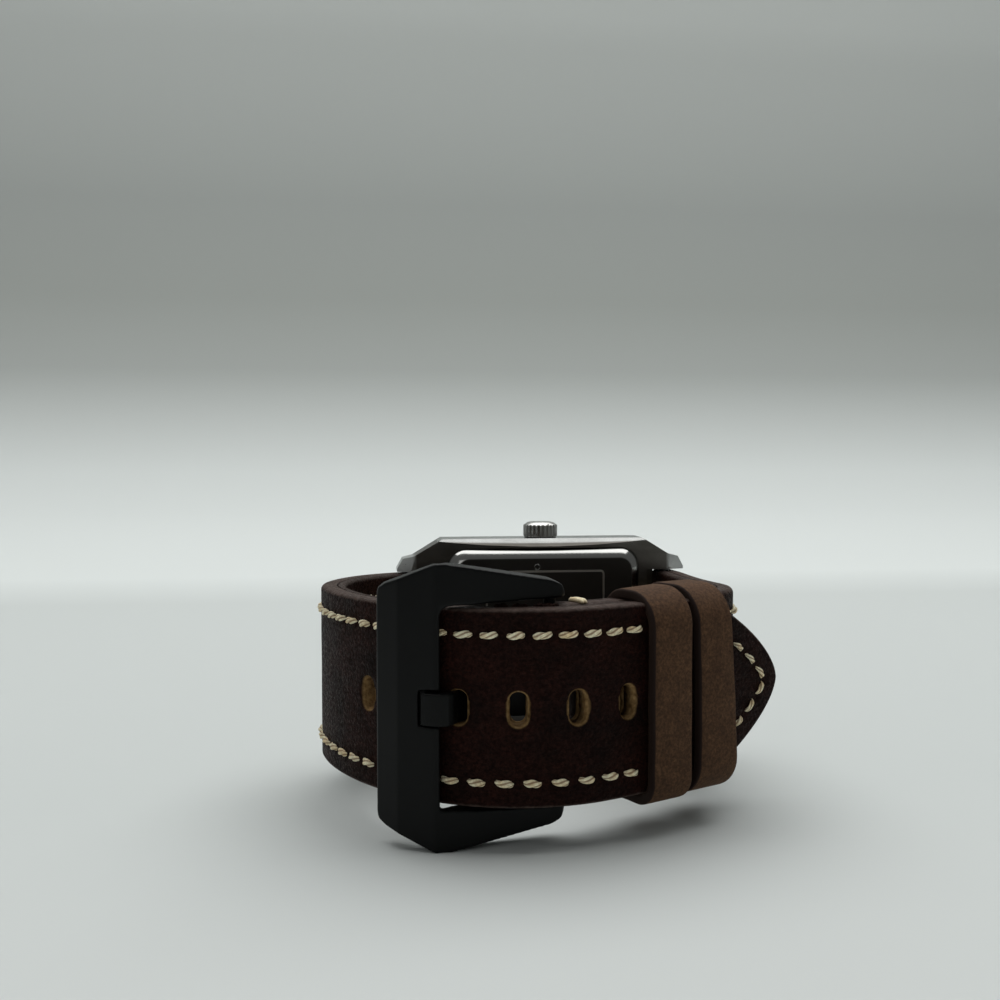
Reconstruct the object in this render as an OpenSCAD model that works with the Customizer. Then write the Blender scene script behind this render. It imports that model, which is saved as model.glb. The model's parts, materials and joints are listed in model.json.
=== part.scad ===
/* [Case] */
// Case width from the 9 o'clock flank to the 3 o'clock flank
case_w = 34.8; // [34:0.2:40]
// Length over the lugs
lug_to_lug = 45.8; // [45:0.2:47]
// Length of the straight flank between the slanted corners
flank_l = 31.8; // [30:0.2:32.6]
// Height that each slanted corner drops towards its lug
corner_drop = 2.6; // [1.5:0.1:2.8]
// Length of each slanted corner along the case
corner_l = 4.4; // [3:0.1:4.6]
// Thickness of the case middle at its centre
case_t = 7.4; // [7:0.1:9]
// Camber of the case middle's dial and back faces over the flank
case_camber = 0.8; // [0.4:0.1:1.2]
// Depth of the polished chamfer along the flanks
flank_chamfer = 1.2; // [0.6:0.1:1.4]
// Length of the facet at the end of each lug
lug_facet = 2.8; // [1.5:0.1:3.2]
// Fall of a lug's outer side over its last stretch
lug_fall = 2; // [1:0.1:2.2]
// Angle that the lug facets splay towards the strap
facet_splay = 12; // [0:1:16]
// Distance from the case's centre to the root of the gap between its lugs
lug_root = 16.6; // [16:0.1:17.6]
// Distance from the case's centre to the edge of the shelf above the strap's end
shelf_reach = 18.2; // [17.6:0.1:18.4]
// Size of the movement opening across the case
cavity_w = 27; // [26.5:0.1:28]
// Corner radius of the movement opening
cavity_r = 3; // [2:0.1:4]

/* [Case back] */
// Length of the raised case back
back_l = 30.4; // [29.4:0.1:31]
// Width of the raised case back
back_w = 31.8; // [30.4:0.1:32]
// Height of the case back above the case middle
back_h = 1.8; // [1.2:0.1:2.4]
// Width of the case back's seat at 6 and 12 o'clock
back_seat_l = 1.7; // [1.4:0.1:2]
// Width of the case back's seat along the flanks
back_seat_w = 2.4; // [1.8:0.1:2.6]
// Corner radius of the case back
back_r = 3; // [2:0.1:4]
// Radius of the soft edge of the case back
back_edge = 1.4; // [0.6:0.1:1.5]
// Depth of the lip that snaps into the case middle
back_lip = 0.9; // [0.6:0.1:1.2]
// Length of the engraved frame on the case back
engraved_l = 18.4; // [14:0.2:22]
// Width of the engraved frame on the case back
engraved_w = 24.8; // [20:0.2:26]
// Height of the case back gasket
back_gasket_h = 0.5; // [0.3:0.05:0.6]
// Width of the engraved line
engraved_line = 0.25; // [0.15:0.05:0.4]

/* [Glass and dial] */
// Outer length and width of the bezel
bezel_w = 30; // [29:0.2:31]
// Height of the bezel above the case middle
bezel_h = 1.1; // [0.8:0.1:1.6]
// Length and width of the glass
crystal_w = 26.4; // [25:0.2:27]
// Wall of the glass gasket
gasket_t = 0.3; // [0.2:0.05:0.4]
// Thickness of the glass
crystal_t = 1.1; // [0.8:0.1:1.6]
// Length and width of the dial
dial_w = 26.2; // [25:0.1:26.6]
// Gap between the dial and the case
dial_play = 0.4; // [0.2:0.05:0.5]
// Thickness of the dial
dial_t = 0.4; // [0.3:0.05:0.6]
// Width of the ring round the dial
dial_ring_w = 1.5; // [1.2:0.1:1.8]
// Length of an hour marker
marker_l = 2.2; // [1.4:0.1:3]
// Length of the minute hand from its axis
minute_hand_l = 10.4; // [8:0.1:11.5]
// Length of the hour hand from its axis
hour_hand_l = 7; // [5:0.1:8]
// Length of the second hand from its axis
second_hand_l = 11; // [8:0.1:11.6]

/* [Crown] */
// Diameter of the crown
crown_d = 5.4; // [4.6:0.1:6]
// Height of the crown
crown_h = 2.8; // [2.2:0.1:3.4]
// Number of flutes round the crown
crown_flutes = 24; // [16:2:32]
// Outer diameter of the crown tube
tube_d = 2.4; // [2.2:0.1:2.8]
// Travel of the crown to the setting position
crown_pull = 1.2; // [0.8:0.1:1.4]

/* [Strap] */
// Width of the strap
strap_w = 24; // [22:0.5:24.4]
// Thickness of the upper leather
upper_t = 2.3; // [1.8:0.1:2.4]
// Thickness of the lining leather
lining_t = 1.2; // [0.8:0.1:1.3]
// Distance between the two spring bars
bar_span = 40.6; // [40.2:0.1:41]
// Distance from the tip to the nearest hole
tip_to_hole = 20.4; // [19.6:0.1:21.4]
// Distance between strap holes
hole_pitch = 6.85; // [6.5:0.05:7]
// Number of strap holes
hole_count = 7; // [5:1:8]
// Length of a hole across the strap
hole_l = 5; // [4.8:0.1:6]
// Width of a hole along the strap
hole_w = 2.6; // [2.5:0.1:3]
// Length of the pointed tip
tip_l = 14; // [10:0.1:15]
// Gap between the long strap and the short strap under it
lay_gap = 0.3; // [0.25:0.05:0.6]
// Bevel of the strap's outer edges
edge_bevel = 0.55; // [0.2:0.05:0.8]
// Radius of the turn that the short strap takes up to its lug
turn_r = 9; // [8:0.5:10]

/* [Keepers] */
// Distance along the strap from the buckle pin to the middle of the fixed keeper
keeper_from_pin = 14.3; // [12:0.1:15]
// Width of a keeper along the strap
keeper_w = 7; // [6:0.1:7.2]
// Thickness of the keeper leather
keeper_t = 1.3; // [1:0.1:1.6]
// Gap between the two keepers
keeper_gap = 1.3; // [1.2:0.1:1.6]
// Play of the sliding keeper round the straps
keeper_play = 0.35; // [0.3:0.05:0.6]
// Radius of a keeper's outer corners
keeper_r = 2; // [1.2:0.1:2.6]

/* [Buckle] */
// Greatest height of the buckle, at its ridge
buckle_w = 34.8; // [34:0.2:35.6]
// Height of the buckle at its free edge
buckle_edge_w = 29; // [28.6:0.2:31]
// Height of the buckle at its hinge end
buckle_hinge_w = 29.2; // [28.6:0.2:30]
// Play between the strap and the inside of the buckle
buckle_play = 0.3; // [0.25:0.05:0.5]
// Distance from the buckle pin to the ridge
ridge_reach = 14.6; // [14.4:0.1:15]
// Length of the highest stretch of the buckle, short of its ridge
apex_l = 2.2; // [1.2:0.1:3]
// Distance from the buckle pin to the free edge
edge_reach = 21.4; // [21:0.1:22]
// Width of the buckle's front bar
front_bar = 7.8; // [7.4:0.1:8]
// Radius of the eyes at the hinge end
eye_r = 1.9; // [1.7:0.1:2]
// Diameter of the buckle pin
pin_d = 1.5; // [1.3:0.1:1.6]
// Distance along the strap from the hole in use to the buckle pin
tongue_span = 11.8; // [11.4:0.1:12.2]
// Width of the tongue
tongue_w = 3.9; // [3.4:0.1:4.2]
// Thickness of the tongue
tongue_t = 1.4; // [1.2:0.1:1.5]

/* [Spring bars] */
// Diameter of a spring bar
bar_d = 1.8; // [1.5:0.1:2]
// Diameter of the tips that enter the lugs
bar_tip_d = 0.9; // [0.8:0.1:1.2]
// Length of each tip that enters a lug
bar_tip_l = 1.2; // [0.8:0.1:1.4]

/* [Movement] */
// Length and width of the main plate
plate_w = 23; // [22:0.2:24]
// Thickness of the main plate
plate_t = 1.2; // [1:0.1:1.3]
// Module of the going train
train_m = 0.1; // [0.09:0.005:0.11]
// Module of the motion work at the cannon pinion
motion_m = 0.14; // [0.13:0.005:0.15]
// Running clearance of arbors and pinions
run_clear = 0.03; // [0.02:0.01:0.05]
// Diameter of the battery
battery_d = 6.8; // [6:0.1:7]
// Thickness of the battery
battery_t = 2.1; // [1.6:0.1:2.2]

/* [Hidden] */
$fn = 48;
soft_fn = 32;
eps = 0.01;
cut = 60;

// Heights in the head's own frame, where +Z is the way the dial faces and the spring bars lie at 0
back_face = -4.6;
front_face = back_face + case_t;
dial_under = front_face - 1.6;
dial_top = dial_under + dial_t;
crystal_seat = front_face + bezel_h - crystal_t + 0.3;
crystal_top = crystal_seat + crystal_t;
plate_top = dial_under - 1.0;
plate_under = plate_top - plate_t;
back_seat = back_face + case_camber;
ring_floor = back_seat + back_lip;
wall_play = 0.05;
back_open_l = back_l - 2 * back_seat_l;
back_open_w = back_w - 2 * back_seat_w;
dial_open = dial_w + 2 * dial_play;

// Outline of the case, from its driving sizes
lug_outer_w = case_w - 2 * corner_drop - 0.1;
lug_gap = strap_w + 0.6;
lug_slot_l = lug_to_lug / 2 - lug_root;
bar_x = bar_span / 2;
camber_r = (pow(flank_l / 2, 2) + pow(case_camber, 2)) / (2 * case_camber);
lug_back = back_face + case_camber + 0.5;
lug_tip_back = -2.2;
lug_tip_front = 1.6;

// The strap's middle line as seen from the 3 o'clock side: pairs of length and bending radius
strap_t = upper_t + lining_t;
upper_v = strap_t / 2 - upper_t;
strap_start = [-bar_x, -0.5, 196];
shelf_under = strap_start[1] - 0.7;
strap_run = [[24.5, 16.7], [24, 35], [22.5, 20], [30.2, 200]];
strap_l = strap_run[0][0] + strap_run[1][0] + strap_run[2][0] + strap_run[3][0];
strap_step = 2;
holes_past_tongue = 4;
lay = strap_t + lay_gap;
used_hole_s = strap_l - tip_to_hole - holes_past_tongue * hole_pitch;
pin_s = used_hole_s + tongue_span;
keeper_1_s = pin_s + keeper_from_pin;
keeper_2_s = keeper_1_s + keeper_w + keeper_gap;
turn_s = keeper_2_s + keeper_w / 2 + 1.4;

// Overall reach, which places the origin at the middle of the base
floor_drop = max(case_w, buckle_w) / 2;

function arc_step(p, len, r) =
    r == 0
        ? [p[0] + len * cos(p[2]), p[1] + len * sin(p[2]), p[2]]
        : let (turn = len / r * 180 / PI)
          [p[0] + r * (sin(p[2] + turn) - sin(p[2])),
           p[1] - r * (cos(p[2] + turn) - cos(p[2])),
           p[2] + turn];

// Point and heading at a distance along a chain of arcs
function along(p, run, s, i = 0) =
    i >= len(run) ? arc_step(p, s, 0)
    : s <= run[i][0] ? arc_step(p, s, run[i][1])
    : along(arc_step(p, run[i][0], run[i][1]), run, s - run[i][0], i + 1);

function beside(p, v) = [p[0] + v * sin(p[2]), p[1] - v * cos(p[2])];
function beside3(p, v) = concat(beside(p, v), p[2]);
function long_at(s) = along(strap_start, strap_run, s);

// The short strap lies under the long one, then turns up on an arc that ends tangent to its lug line
turn_from = beside3(long_at(turn_s), -lay);
turn_centre = beside(turn_from, -turn_r);
lug_point = [bar_x, strap_start[1]];
to_lug = lug_point - turn_centre;
lug_distance = norm(to_lug);
turn_end_heading = atan2(to_lug[1], to_lug[0]) - acos(turn_r / lug_distance) + 90;
turn_l = (turn_end_heading + 360 - turn_from[2]) * PI / 180 * turn_r;
rise_l = sqrt(pow(lug_distance, 2) - pow(turn_r, 2));
short_end = turn_s + turn_l + rise_l;
function short_at(s) =
    s <= turn_s
        ? beside3(long_at(s), -lay)
        : along(turn_from, [[turn_l, turn_r], [rise_l, 0]], s - turn_s);

function stations(a, b) = let (n = ceil((b - a) / strap_step)) [for (i = [0:n]) a + (b - a) * i / n];
function long_side(a, b, v) = [for (s = stations(a, b)) beside(long_at(s), v)];
function short_side(a, b, v) = [for (s = stations(a, b)) beside(short_at(s), v)];
function reversed(list) = [for (i = [len(list) - 1:-1:0]) list[i]];

outer_side = long_side(0, strap_l, strap_t / 2);
turn_side = short_side(turn_s, short_end, strap_t / 2);
pin = short_at(pin_s);
buckle_edge = [pin[0] - edge_reach, pin[1]];
reach_x = [for (p = concat(outer_side, turn_side, [buckle_edge])) p[0]];
reach_y = [for (p = outer_side) p[1]];
mid_x = (min(reach_x) + max(reach_x)) / 2;
mid_y = (min(reach_y) + crystal_top) / 2;

module placed() {
    translate([-mid_x, -mid_y, floor_drop]) children();
}

// Turns the head's own frame so that the dial faces +Y and the crown stands up
module head() {
    placed() rotate([90, 0, 180]) children();
}

module disc(z0, z1, r) {
    translate([0, 0, z0]) cylinder(h = z1 - z0, r = r);
}

module ring(z0, z1, r_in, r_out) {
    difference() {
        disc(z0, z1, r_out);
        disc(z0 - 1, z1 + 1, r_in);
    }
}

module rounded_square(x, y, r) {
    union() {
        square([x - 2 * r, y], center = true);
        square([x, y - 2 * r], center = true);
        for (sx = [-1, 1], sy = [-1, 1]) translate([sx * (x / 2 - r), sy * (y / 2 - r)]) circle(r);
    }
}

module slab(z0, z1, x, y, r) {
    translate([0, 0, z0]) linear_extrude(z1 - z0) rounded_square(x, y, r);
}

// Case

module case_outline() {
    x1 = flank_l / 2;
    x2 = x1 + corner_l;
    x3 = lug_to_lug / 2;
    y1 = case_w / 2;
    y2 = lug_outer_w / 2;
    y3 = y2 - lug_fall;
    quarter = [[x1, y1], [x2, y2], [x3 - 0.9, y2 - 0.2 * lug_fall], [x3, y3]];
    half = concat(quarter, [for (p = reversed(quarter)) [p[0], -p[1]]]);
    polygon(concat(half, [for (p = half) -p]));
}

// Side view of the case middle
module case_side() {
    x2 = lug_to_lug / 2;
    x1 = x2 - lug_facet;
    polygon([[-x1, lug_back], [-x2, lug_back], [-x2, lug_tip_front], [-x1, front_face],
             [x1, front_face], [x2, lug_tip_front], [x2, lug_back], [x1, lug_back],
             [x1 - 2, back_face - 1], [-x1 + 2, back_face - 1]]);
}

// The facet that a lug's end takes off its back, splayed towards the strap
module lug_facet_cut() {
    reach = 10;
    fall = atan2(lug_tip_back - lug_back, lug_facet);
    translate([lug_to_lug / 2 - lug_facet, lug_outer_w / 2, lug_back])
        rotate([0, 0, facet_splay])
            rotate([0, -fall, 0])
                translate([0, -reach, -reach])
                    cube([reach, 2 * reach, reach]);
}

module lug_facets() {
    for (turn = [0, 180]) rotate([0, 0, turn]) {
        lug_facet_cut();
        mirror([0, 1, 0]) lug_facet_cut();
    }
}

module flank_chamfers() {
    reach = case_w / 2 - flank_chamfer;
    for (s = [-1, 1]) {
        translate([0, s * reach, back_face])
            rotate([s * 45, 0, 0])
                translate([-cut / 2, -cut / 2, -10])
                    cube([cut, cut, 10]);
        translate([0, s * (reach + flank_chamfer / 2), front_face])
            rotate([-s * 45, 0, 0])
                translate([-cut / 2, -cut / 2, 0])
                    cube([cut, cut, 10]);
    }
}

module case_middle() {
    color([0.34, 0.34, 0.35]) head() difference() {
        intersection() {
            translate([0, 0, back_face]) linear_extrude(case_t) case_outline();
            rotate([90, 0, 0]) translate([0, 0, -cut / 2]) linear_extrude(cut) case_side();
            translate([0, 0, back_face + camber_r]) rotate([90, 0, 0])
                cylinder(h = cut, r = camber_r, center = true, $fn = 360);
            translate([0, 0, front_face - camber_r]) rotate([90, 0, 0])
                cylinder(h = cut, r = camber_r, center = true, $fn = 360);
        }
        flank_chamfers();
        lug_facets();
        for (s = [-1, 1]) translate([s * (lug_to_lug / 2), 0, 0]) {
            translate([0, 0, shelf_under - cut / 2]) cube([2 * lug_slot_l, lug_gap, cut], center = true);
            cube([lug_to_lug - 2 * shelf_reach, lug_gap, cut], center = true);
        }
        slab(back_face - 1, ring_floor, back_open_l, back_open_w, cavity_r);
        slab(ring_floor - eps, dial_under, cavity_w, cavity_w, cavity_r);
        slab(dial_under - eps, front_face + 1, dial_open, dial_open, cavity_r);
        slab(back_face - 1, back_seat + back_gasket_h, back_l - 2, back_w - 2, back_r);
        slab(back_face - 1, back_seat, back_l + 2 * wall_play, back_w + 2 * wall_play, back_r);
        slab(front_face - case_camber, front_face + 1, bezel_w + 2 * wall_play, bezel_w + 2 * wall_play, cavity_r);
        for (s = [-1, 1]) translate([s * bar_x, 0, strap_start[1]]) rotate([90, 0, 0])
            cylinder(h = lug_gap + 2 * bar_tip_l + 0.2, d = bar_tip_d + 0.1, center = true);
        translate([0, cavity_w / 2 - 1, stem_level]) rotate([-90, 0, 0]) cylinder(h = 10, d = tube_d);
    }
}

module bezel() {
    color([0.62, 0.62, 0.63]) head() difference() {
        union() {
            slab(front_face - case_camber, front_face + 0.5, bezel_w, bezel_w, cavity_r);
            hull() {
                slab(front_face + 0.5 - eps, front_face + 0.5, bezel_w, bezel_w, cavity_r, $fn = soft_fn);
                slab(front_face + bezel_h - eps, front_face + bezel_h, bezel_w - 1.2, bezel_w - 1.2,
                     cavity_r - 0.6, $fn = soft_fn);
            }
        }
        slab(front_face - 2, front_face + 3, crystal_w - 2.4, crystal_w - 2.4, 1.4);
        slab(crystal_seat, front_face + 3, crystal_w + 2 * gasket_t, crystal_w + 2 * gasket_t, 2 + gasket_t);
    }
}

module crystal() {
    color([0.8, 0.88, 0.9]) head() slab(crystal_seat, crystal_top, crystal_w, crystal_w, 2);
}

module crystal_gasket() {
    color([0.9, 0.9, 0.9]) head() difference() {
        slab(crystal_seat, crystal_seat + crystal_t - 0.3, crystal_w + 2 * gasket_t, crystal_w + 2 * gasket_t,
             2 + gasket_t);
        slab(crystal_seat - 1, crystal_seat + crystal_t, crystal_w, crystal_w, 2);
    }
}

module case_back() {
    plate_bottom = back_seat - back_h;
    groove = 0.12;
    color([0.2, 0.2, 0.21]) head() difference() {
        union() {
            slab(plate_bottom + back_edge, back_seat, back_l, back_w, back_r);
            hull() for (a = [0:22.5:90]) {
                z = plate_bottom + back_edge * (1 - sin(a));
                in = back_edge * (1 - cos(a));
                slab(z, z + eps, back_l - 2 * in, back_w - 2 * in, back_r - in, $fn = soft_fn);
            }
            slab(back_face, ring_floor, back_open_l - 0.2, back_open_w - 0.2, cavity_r);
        }
        slab(back_face - 0.1, back_face + 3, back_open_l - 1.8, back_open_w - 1.8, cavity_r - 0.8);
        translate([0, 0, plate_bottom - 1]) linear_extrude(1 + groove) difference() {
            square([engraved_l, engraved_w], center = true);
            square([engraved_l - 2 * engraved_line, engraved_w - 2 * engraved_line], center = true);
        }
        translate([1.3, back_w / 2 - 2.2, plate_bottom]) cylinder(h = 0.5, d = 0.9, center = true);
    }
}

module case_back_gasket() {
    color([0.1, 0.1, 0.1]) head() difference() {
        slab(back_seat, back_seat + back_gasket_h, back_l - 2.1, back_w - 2.1, back_r);
        slab(back_face - 1, front_face, back_open_l - 0.2, back_open_w - 0.2, cavity_r);
    }
}

// Dial side

module dial() {
    color([0.85, 0.84, 0.8]) head() difference() {
        slab(dial_under, dial_top, dial_w, dial_w, cavity_r - 0.4);
        disc(dial_under - 1, dial_top + 1, hour_pipe_r + 0.15);
    }
}

module dial_ring() {
    color([0.15, 0.15, 0.16]) head() difference() {
        slab(dial_top, front_face - case_camber, dial_open - 2 * wall_play, dial_open - 2 * wall_play, cavity_r);
        slab(dial_top - 1, front_face, dial_open - 2 * dial_ring_w, dial_open - 2 * dial_ring_w, 1.4);
    }
}

module hour_markers() {
    reach = dial_w / 2 - 3;
    color([0.75, 0.75, 0.76]) head() for (h = [0:11]) rotate([0, 0, 180 - 30 * h]) {
        edge = reach / max(abs(cos(30 * h)), abs(sin(30 * h)));
        translate([edge - marker_l, -0.3, dial_top]) cube([marker_l, 0.6, 0.25]);
    }
}

// A hand that points at a minute, with its boss
module hand(minute, len, tail, w, z, boss_r, bore_r, t) {
    rotate([0, 0, 180 - 6 * minute]) translate([0, 0, z]) difference() {
        union() {
            linear_extrude(t)
                polygon([[-tail, -w * 0.4], [-tail, w * 0.4], [len * 0.75, w / 2], [len, 0.04], [len, -0.04],
                         [len * 0.75, -w / 2]]);
            cylinder(h = t, r = boss_r);
        }
        translate([0, 0, -1]) cylinder(h = 3, r = bore_r);
    }
}

hand_t = 0.12;
hand_gap = 0.16;
hour_hand_z = dial_top + 0.3;
minute_hand_z = hour_hand_z + hand_t + hand_gap;
second_hand_z = minute_hand_z + hand_t + hand_gap;
second_tail_l = 3;
second_weight_r = 1.05;
second_arbor_r = 0.11;
centre_tube_r = 0.26;
cannon_r = 0.42;
hour_pipe_r = 0.66;
shown_hour = 50.7;
shown_minute = 8.3;
shown_second = 30;

module hour_hand() {
    color([0.2, 0.2, 0.22]) head() hand(shown_hour, hour_hand_l, 1.6, 1.3, hour_hand_z, 1.1, hour_pipe_r, hand_t);
}

module minute_hand() {
    color([0.2, 0.2, 0.22]) head() hand(shown_minute, minute_hand_l, 1.8, 1, minute_hand_z, 0.9, cannon_r, hand_t);
}

module second_hand() {
    color([0.5, 0.1, 0.1]) head() union() {
        hand(shown_second, second_hand_l, second_tail_l, 0.24, second_hand_z, 0.5, second_arbor_r, hand_t);
        rotate([0, 0, 180 - 6 * shown_second]) translate([-second_tail_l, 0, second_hand_z])
            cylinder(h = hand_t, r = second_weight_r);
    }
}

// Toothed outline with straight-sided teeth, tooth 0 on the X axis
function gear_points(teeth, m) =
    let (pitch_r = teeth * m / 2, root = pitch_r - 1.15 * m, tip = pitch_r + 0.85 * m, step = 360 / teeth)
    [for (i = [0:teeth - 1], k = [[-0.30, 0], [-0.11, 1], [0.11, 1], [0.30, 0]])
        let (a = (i + k[0]) * step, r = k[1] == 1 ? tip : root) [r * cos(a), r * sin(a)]];

module gear(teeth, m, z0, z1, turn = 0) {
    rotate([0, 0, turn]) translate([0, 0, z0]) linear_extrude(z1 - z0) polygon(gear_points(teeth, m));
}

// Motion work between the dial and the main plate
motion_z = plate_top + 0.15;
cannon_teeth = 12;
minute_teeth = 36;
minute_pinion_teeth = 10;
hour_teeth = 40;
motion_c = motion_m * (cannon_teeth + minute_teeth) / 2;
hour_m = 2 * motion_c / (minute_pinion_teeth + hour_teeth);
minute_wheel_at = 300;

module cannon_pinion() {
    color([0.8, 0.7, 0.4]) head() difference() {
        union() {
            gear(cannon_teeth, motion_m, motion_z, motion_z + 0.3, minute_wheel_at);
            disc(motion_z, minute_hand_z + hand_t, cannon_r);
        }
        disc(motion_z - 1, minute_hand_z + 1, centre_tube_r + run_clear);
    }
}

module minute_wheel() {
    color([0.8, 0.7, 0.4]) head() rotate([0, 0, minute_wheel_at]) translate([motion_c, 0, 0]) difference() {
        union() {
            gear(minute_teeth, motion_m, motion_z, motion_z + 0.3, 180 + 180 / minute_teeth);
            gear(minute_pinion_teeth, hour_m, motion_z, motion_z + 0.7, 180);
        }
        disc(motion_z - 1, motion_z + 2, 0.25 + run_clear);
    }
}

module hour_wheel() {
    color([0.8, 0.7, 0.4]) head() difference() {
        union() {
            gear(hour_teeth, hour_m, motion_z + 0.42, motion_z + 0.68, minute_wheel_at + 180 / hour_teeth);
            disc(motion_z + 0.42, hour_hand_z + hand_t, hour_pipe_r);
        }
        disc(motion_z - 1, minute_hand_z + 1, cannon_r + run_clear);
    }
}

// Going train between the main plate and the bridge
seconds_teeth = 60;
seconds_pinion = 8;
third_teeth = 60;
third_pinion = 8;
centre_teeth = 64;
inter_pinion = 10;
inter_teeth = 45;
rotor_pinion = 9;
wheel_t = 0.2;
level_1 = plate_under - 0.2 - wheel_t;
level_2 = level_1 - 0.25 - wheel_t;
level_3 = level_2 - 0.25 - wheel_t;
level_4 = level_3 - 0.25 - wheel_t;
bridge_top = level_4 - 0.2;
bridge_t = 0.5;
pivot_r = 0.12;
third_c = train_m * (third_teeth + seconds_pinion) / 2;
centre_m = 2 * third_c / (centre_teeth + third_pinion);
inter_c = train_m * (seconds_teeth + inter_pinion) / 2;
rotor_c = train_m * (inter_teeth + rotor_pinion) / 2;
third_at = 150;
inter_at = 20;
rotor_at = 80;
magnet_r = 0.6;

module at_third() {
    rotate([0, 0, third_at]) translate([third_c, 0, 0]) children();
}

module at_inter() {
    rotate([0, 0, inter_at]) translate([inter_c, 0, 0]) rotate([0, 0, -inter_at]) children();
}

module at_rotor() {
    at_inter() rotate([0, 0, rotor_at]) translate([rotor_c, 0, 0]) children();
}

module at_minute_wheel() {
    rotate([0, 0, minute_wheel_at]) translate([motion_c, 0, 0]) children();
}

module centre_wheel() {
    color([0.8, 0.7, 0.4]) head() difference() {
        union() {
            gear(centre_teeth, centre_m, level_1, level_1 + wheel_t, third_at);
            disc(level_1, minute_hand_z + hand_t + 0.05, centre_tube_r);
        }
        disc(level_1 - 1, second_hand_z, second_arbor_r + run_clear);
    }
}

module seconds_wheel() {
    color([0.8, 0.7, 0.4]) head() union() {
        gear(seconds_teeth, train_m, level_3, level_3 + wheel_t, inter_at);
        gear(seconds_pinion, train_m, level_3, level_2 + wheel_t + 0.05, third_at);
        disc(bridge_top - bridge_t, level_3 + wheel_t, pivot_r - run_clear);
        disc(level_3, second_hand_z + hand_t, second_arbor_r);
    }
}

module third_wheel() {
    color([0.8, 0.7, 0.4]) head() at_third() union() {
        gear(third_teeth, train_m, level_2, level_2 + wheel_t, 180 + 180 / third_teeth);
        gear(third_pinion, centre_m, level_2, level_1 + wheel_t + 0.05, 180 + 180 / third_pinion);
        disc(bridge_top - bridge_t, plate_under + 0.8, pivot_r - run_clear);
    }
}

module intermediate_wheel() {
    color([0.8, 0.7, 0.4]) head() at_inter() union() {
        gear(inter_teeth, train_m, level_4, level_4 + wheel_t, rotor_at);
        gear(inter_pinion, train_m, level_4, level_3 + wheel_t + 0.05,
             inter_at + 180 + 180 / inter_pinion);
        disc(bridge_top - bridge_t, plate_under + 0.8, pivot_r - run_clear);
    }
}

module rotor() {
    color([0.5, 0.5, 0.55]) head() at_rotor() union() {
        gear(rotor_pinion, train_m, level_4 - 0.05, level_4 + wheel_t + 0.15, rotor_at + 180 + 180 / rotor_pinion);
        disc(level_4 + wheel_t + 0.1, level_1 + 0.1, magnet_r);
        disc(bridge_top - bridge_t, plate_under + 0.8, pivot_r - run_clear);
    }
}

// Bores in the main plate and the bridge for every arbor
module train_bores(z0, z1) {
    at_third() disc(z0, z1, pivot_r);
    at_inter() disc(z0, z1, pivot_r);
    at_rotor() disc(z0, z1, pivot_r);
}

stem_level = plate_top - plate_t / 2 + 0.1;
stem_r = 0.45;
battery_at = [6.6, -6.4];
coil_at = [-10.3, -8, level_1 - 0.6];
coil_l = 8;
coil_r = 0.95;
core_r = 0.4;
core_foot = 1.6;
board_at = [-7.6, -8];
board_size = [3.8, 9.8, 0.35];
clamp_t = 0.25;
clamp_w = 2;
clamp_past = 1;
stator_z = level_2;

module movement_ring() {
    color([0.85, 0.85, 0.82]) head() difference() {
        slab(ring_floor, dial_under, cavity_w - 2 * wall_play, cavity_w - 2 * wall_play, cavity_r);
        slab(ring_floor - 1, dial_under + 1, plate_w, plate_w, 2);
        translate([0, cavity_w / 2 - 4, stem_level]) rotate([-90, 0, 0]) cylinder(h = 8, r = 0.75);
    }
}

module main_plate() {
    color([0.75, 0.72, 0.65]) head() difference() {
        union() {
            slab(plate_under, plate_top, plate_w, plate_w, 2);
            at_minute_wheel() disc(plate_top, motion_z + 0.75, 0.25);
            for (p = screw_posts) translate(p) disc(bridge_top, plate_under + 0.1, 0.9);
            at_rotor() translate([2.8, 0, 0]) disc(stator_z + 0.4, plate_under + 0.1, 0.5);
        }
        disc(plate_under - 1, plate_top + 1, centre_tube_r + 0.05);
        train_bores(plate_under - 1, plate_under + 0.9);
        translate([battery_at[0], battery_at[1], 0]) disc(plate_under - 1, plate_under + 0.4, battery_d / 2 + 0.1);
        translate([0, plate_w / 2 - 5, stem_level]) rotate([-90, 0, 0]) cylinder(h = 8, r = stem_r + 0.04);
        for (p = screw_posts) translate(p) disc(bridge_top - 1, plate_under + 0.4, 0.35);
    }
}

screw_posts = [[-7.2, 5], [7.4, 6.6], [-2.4, -7]];

module train_bridge() {
    color([0.8, 0.8, 0.8]) head() difference() {
        translate([0, 0, bridge_top - bridge_t]) linear_extrude(bridge_t)
            polygon([[-9, 6.8], [-6, 8.6], [9, 8.6], [9.4, 2], [4, -2.4], [-0.8, -8.6], [-4.4, -8.6], [-8.6, -3]]);
        train_bores(bridge_top - bridge_t - 1, bridge_top + 1);
        disc(bridge_top - bridge_t - 1, bridge_top + 1, pivot_r);
        for (p = screw_posts) translate(p) disc(bridge_top - bridge_t - 1, bridge_top + 1, 0.35);
    }
}

module movement_screws() {
    color([0.3, 0.35, 0.6]) head() for (p = screw_posts) translate(p) difference() {
        union() {
            disc(bridge_top - bridge_t - 0.3, bridge_top - bridge_t, 0.75);
            disc(bridge_top - bridge_t, plate_under + 0.4, 0.35);
        }
        translate([-1, -0.1, bridge_top - bridge_t - 0.4]) cube([2, 0.2, 0.25]);
    }
}

module circuit_board() {
    color([0.1, 0.3, 0.2]) head() translate([board_at[0], board_at[1], plate_under - board_size[2]])
        cube(board_size);
}

module stator() {
    color([0.6, 0.6, 0.62]) head() difference() {
        at_rotor() translate([-1.4, -1.3, stator_z]) cube([5, 2.6, 0.4]);
        at_rotor() disc(stator_z - 1, stator_z + 1, magnet_r + 0.2);
    }
}

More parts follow.
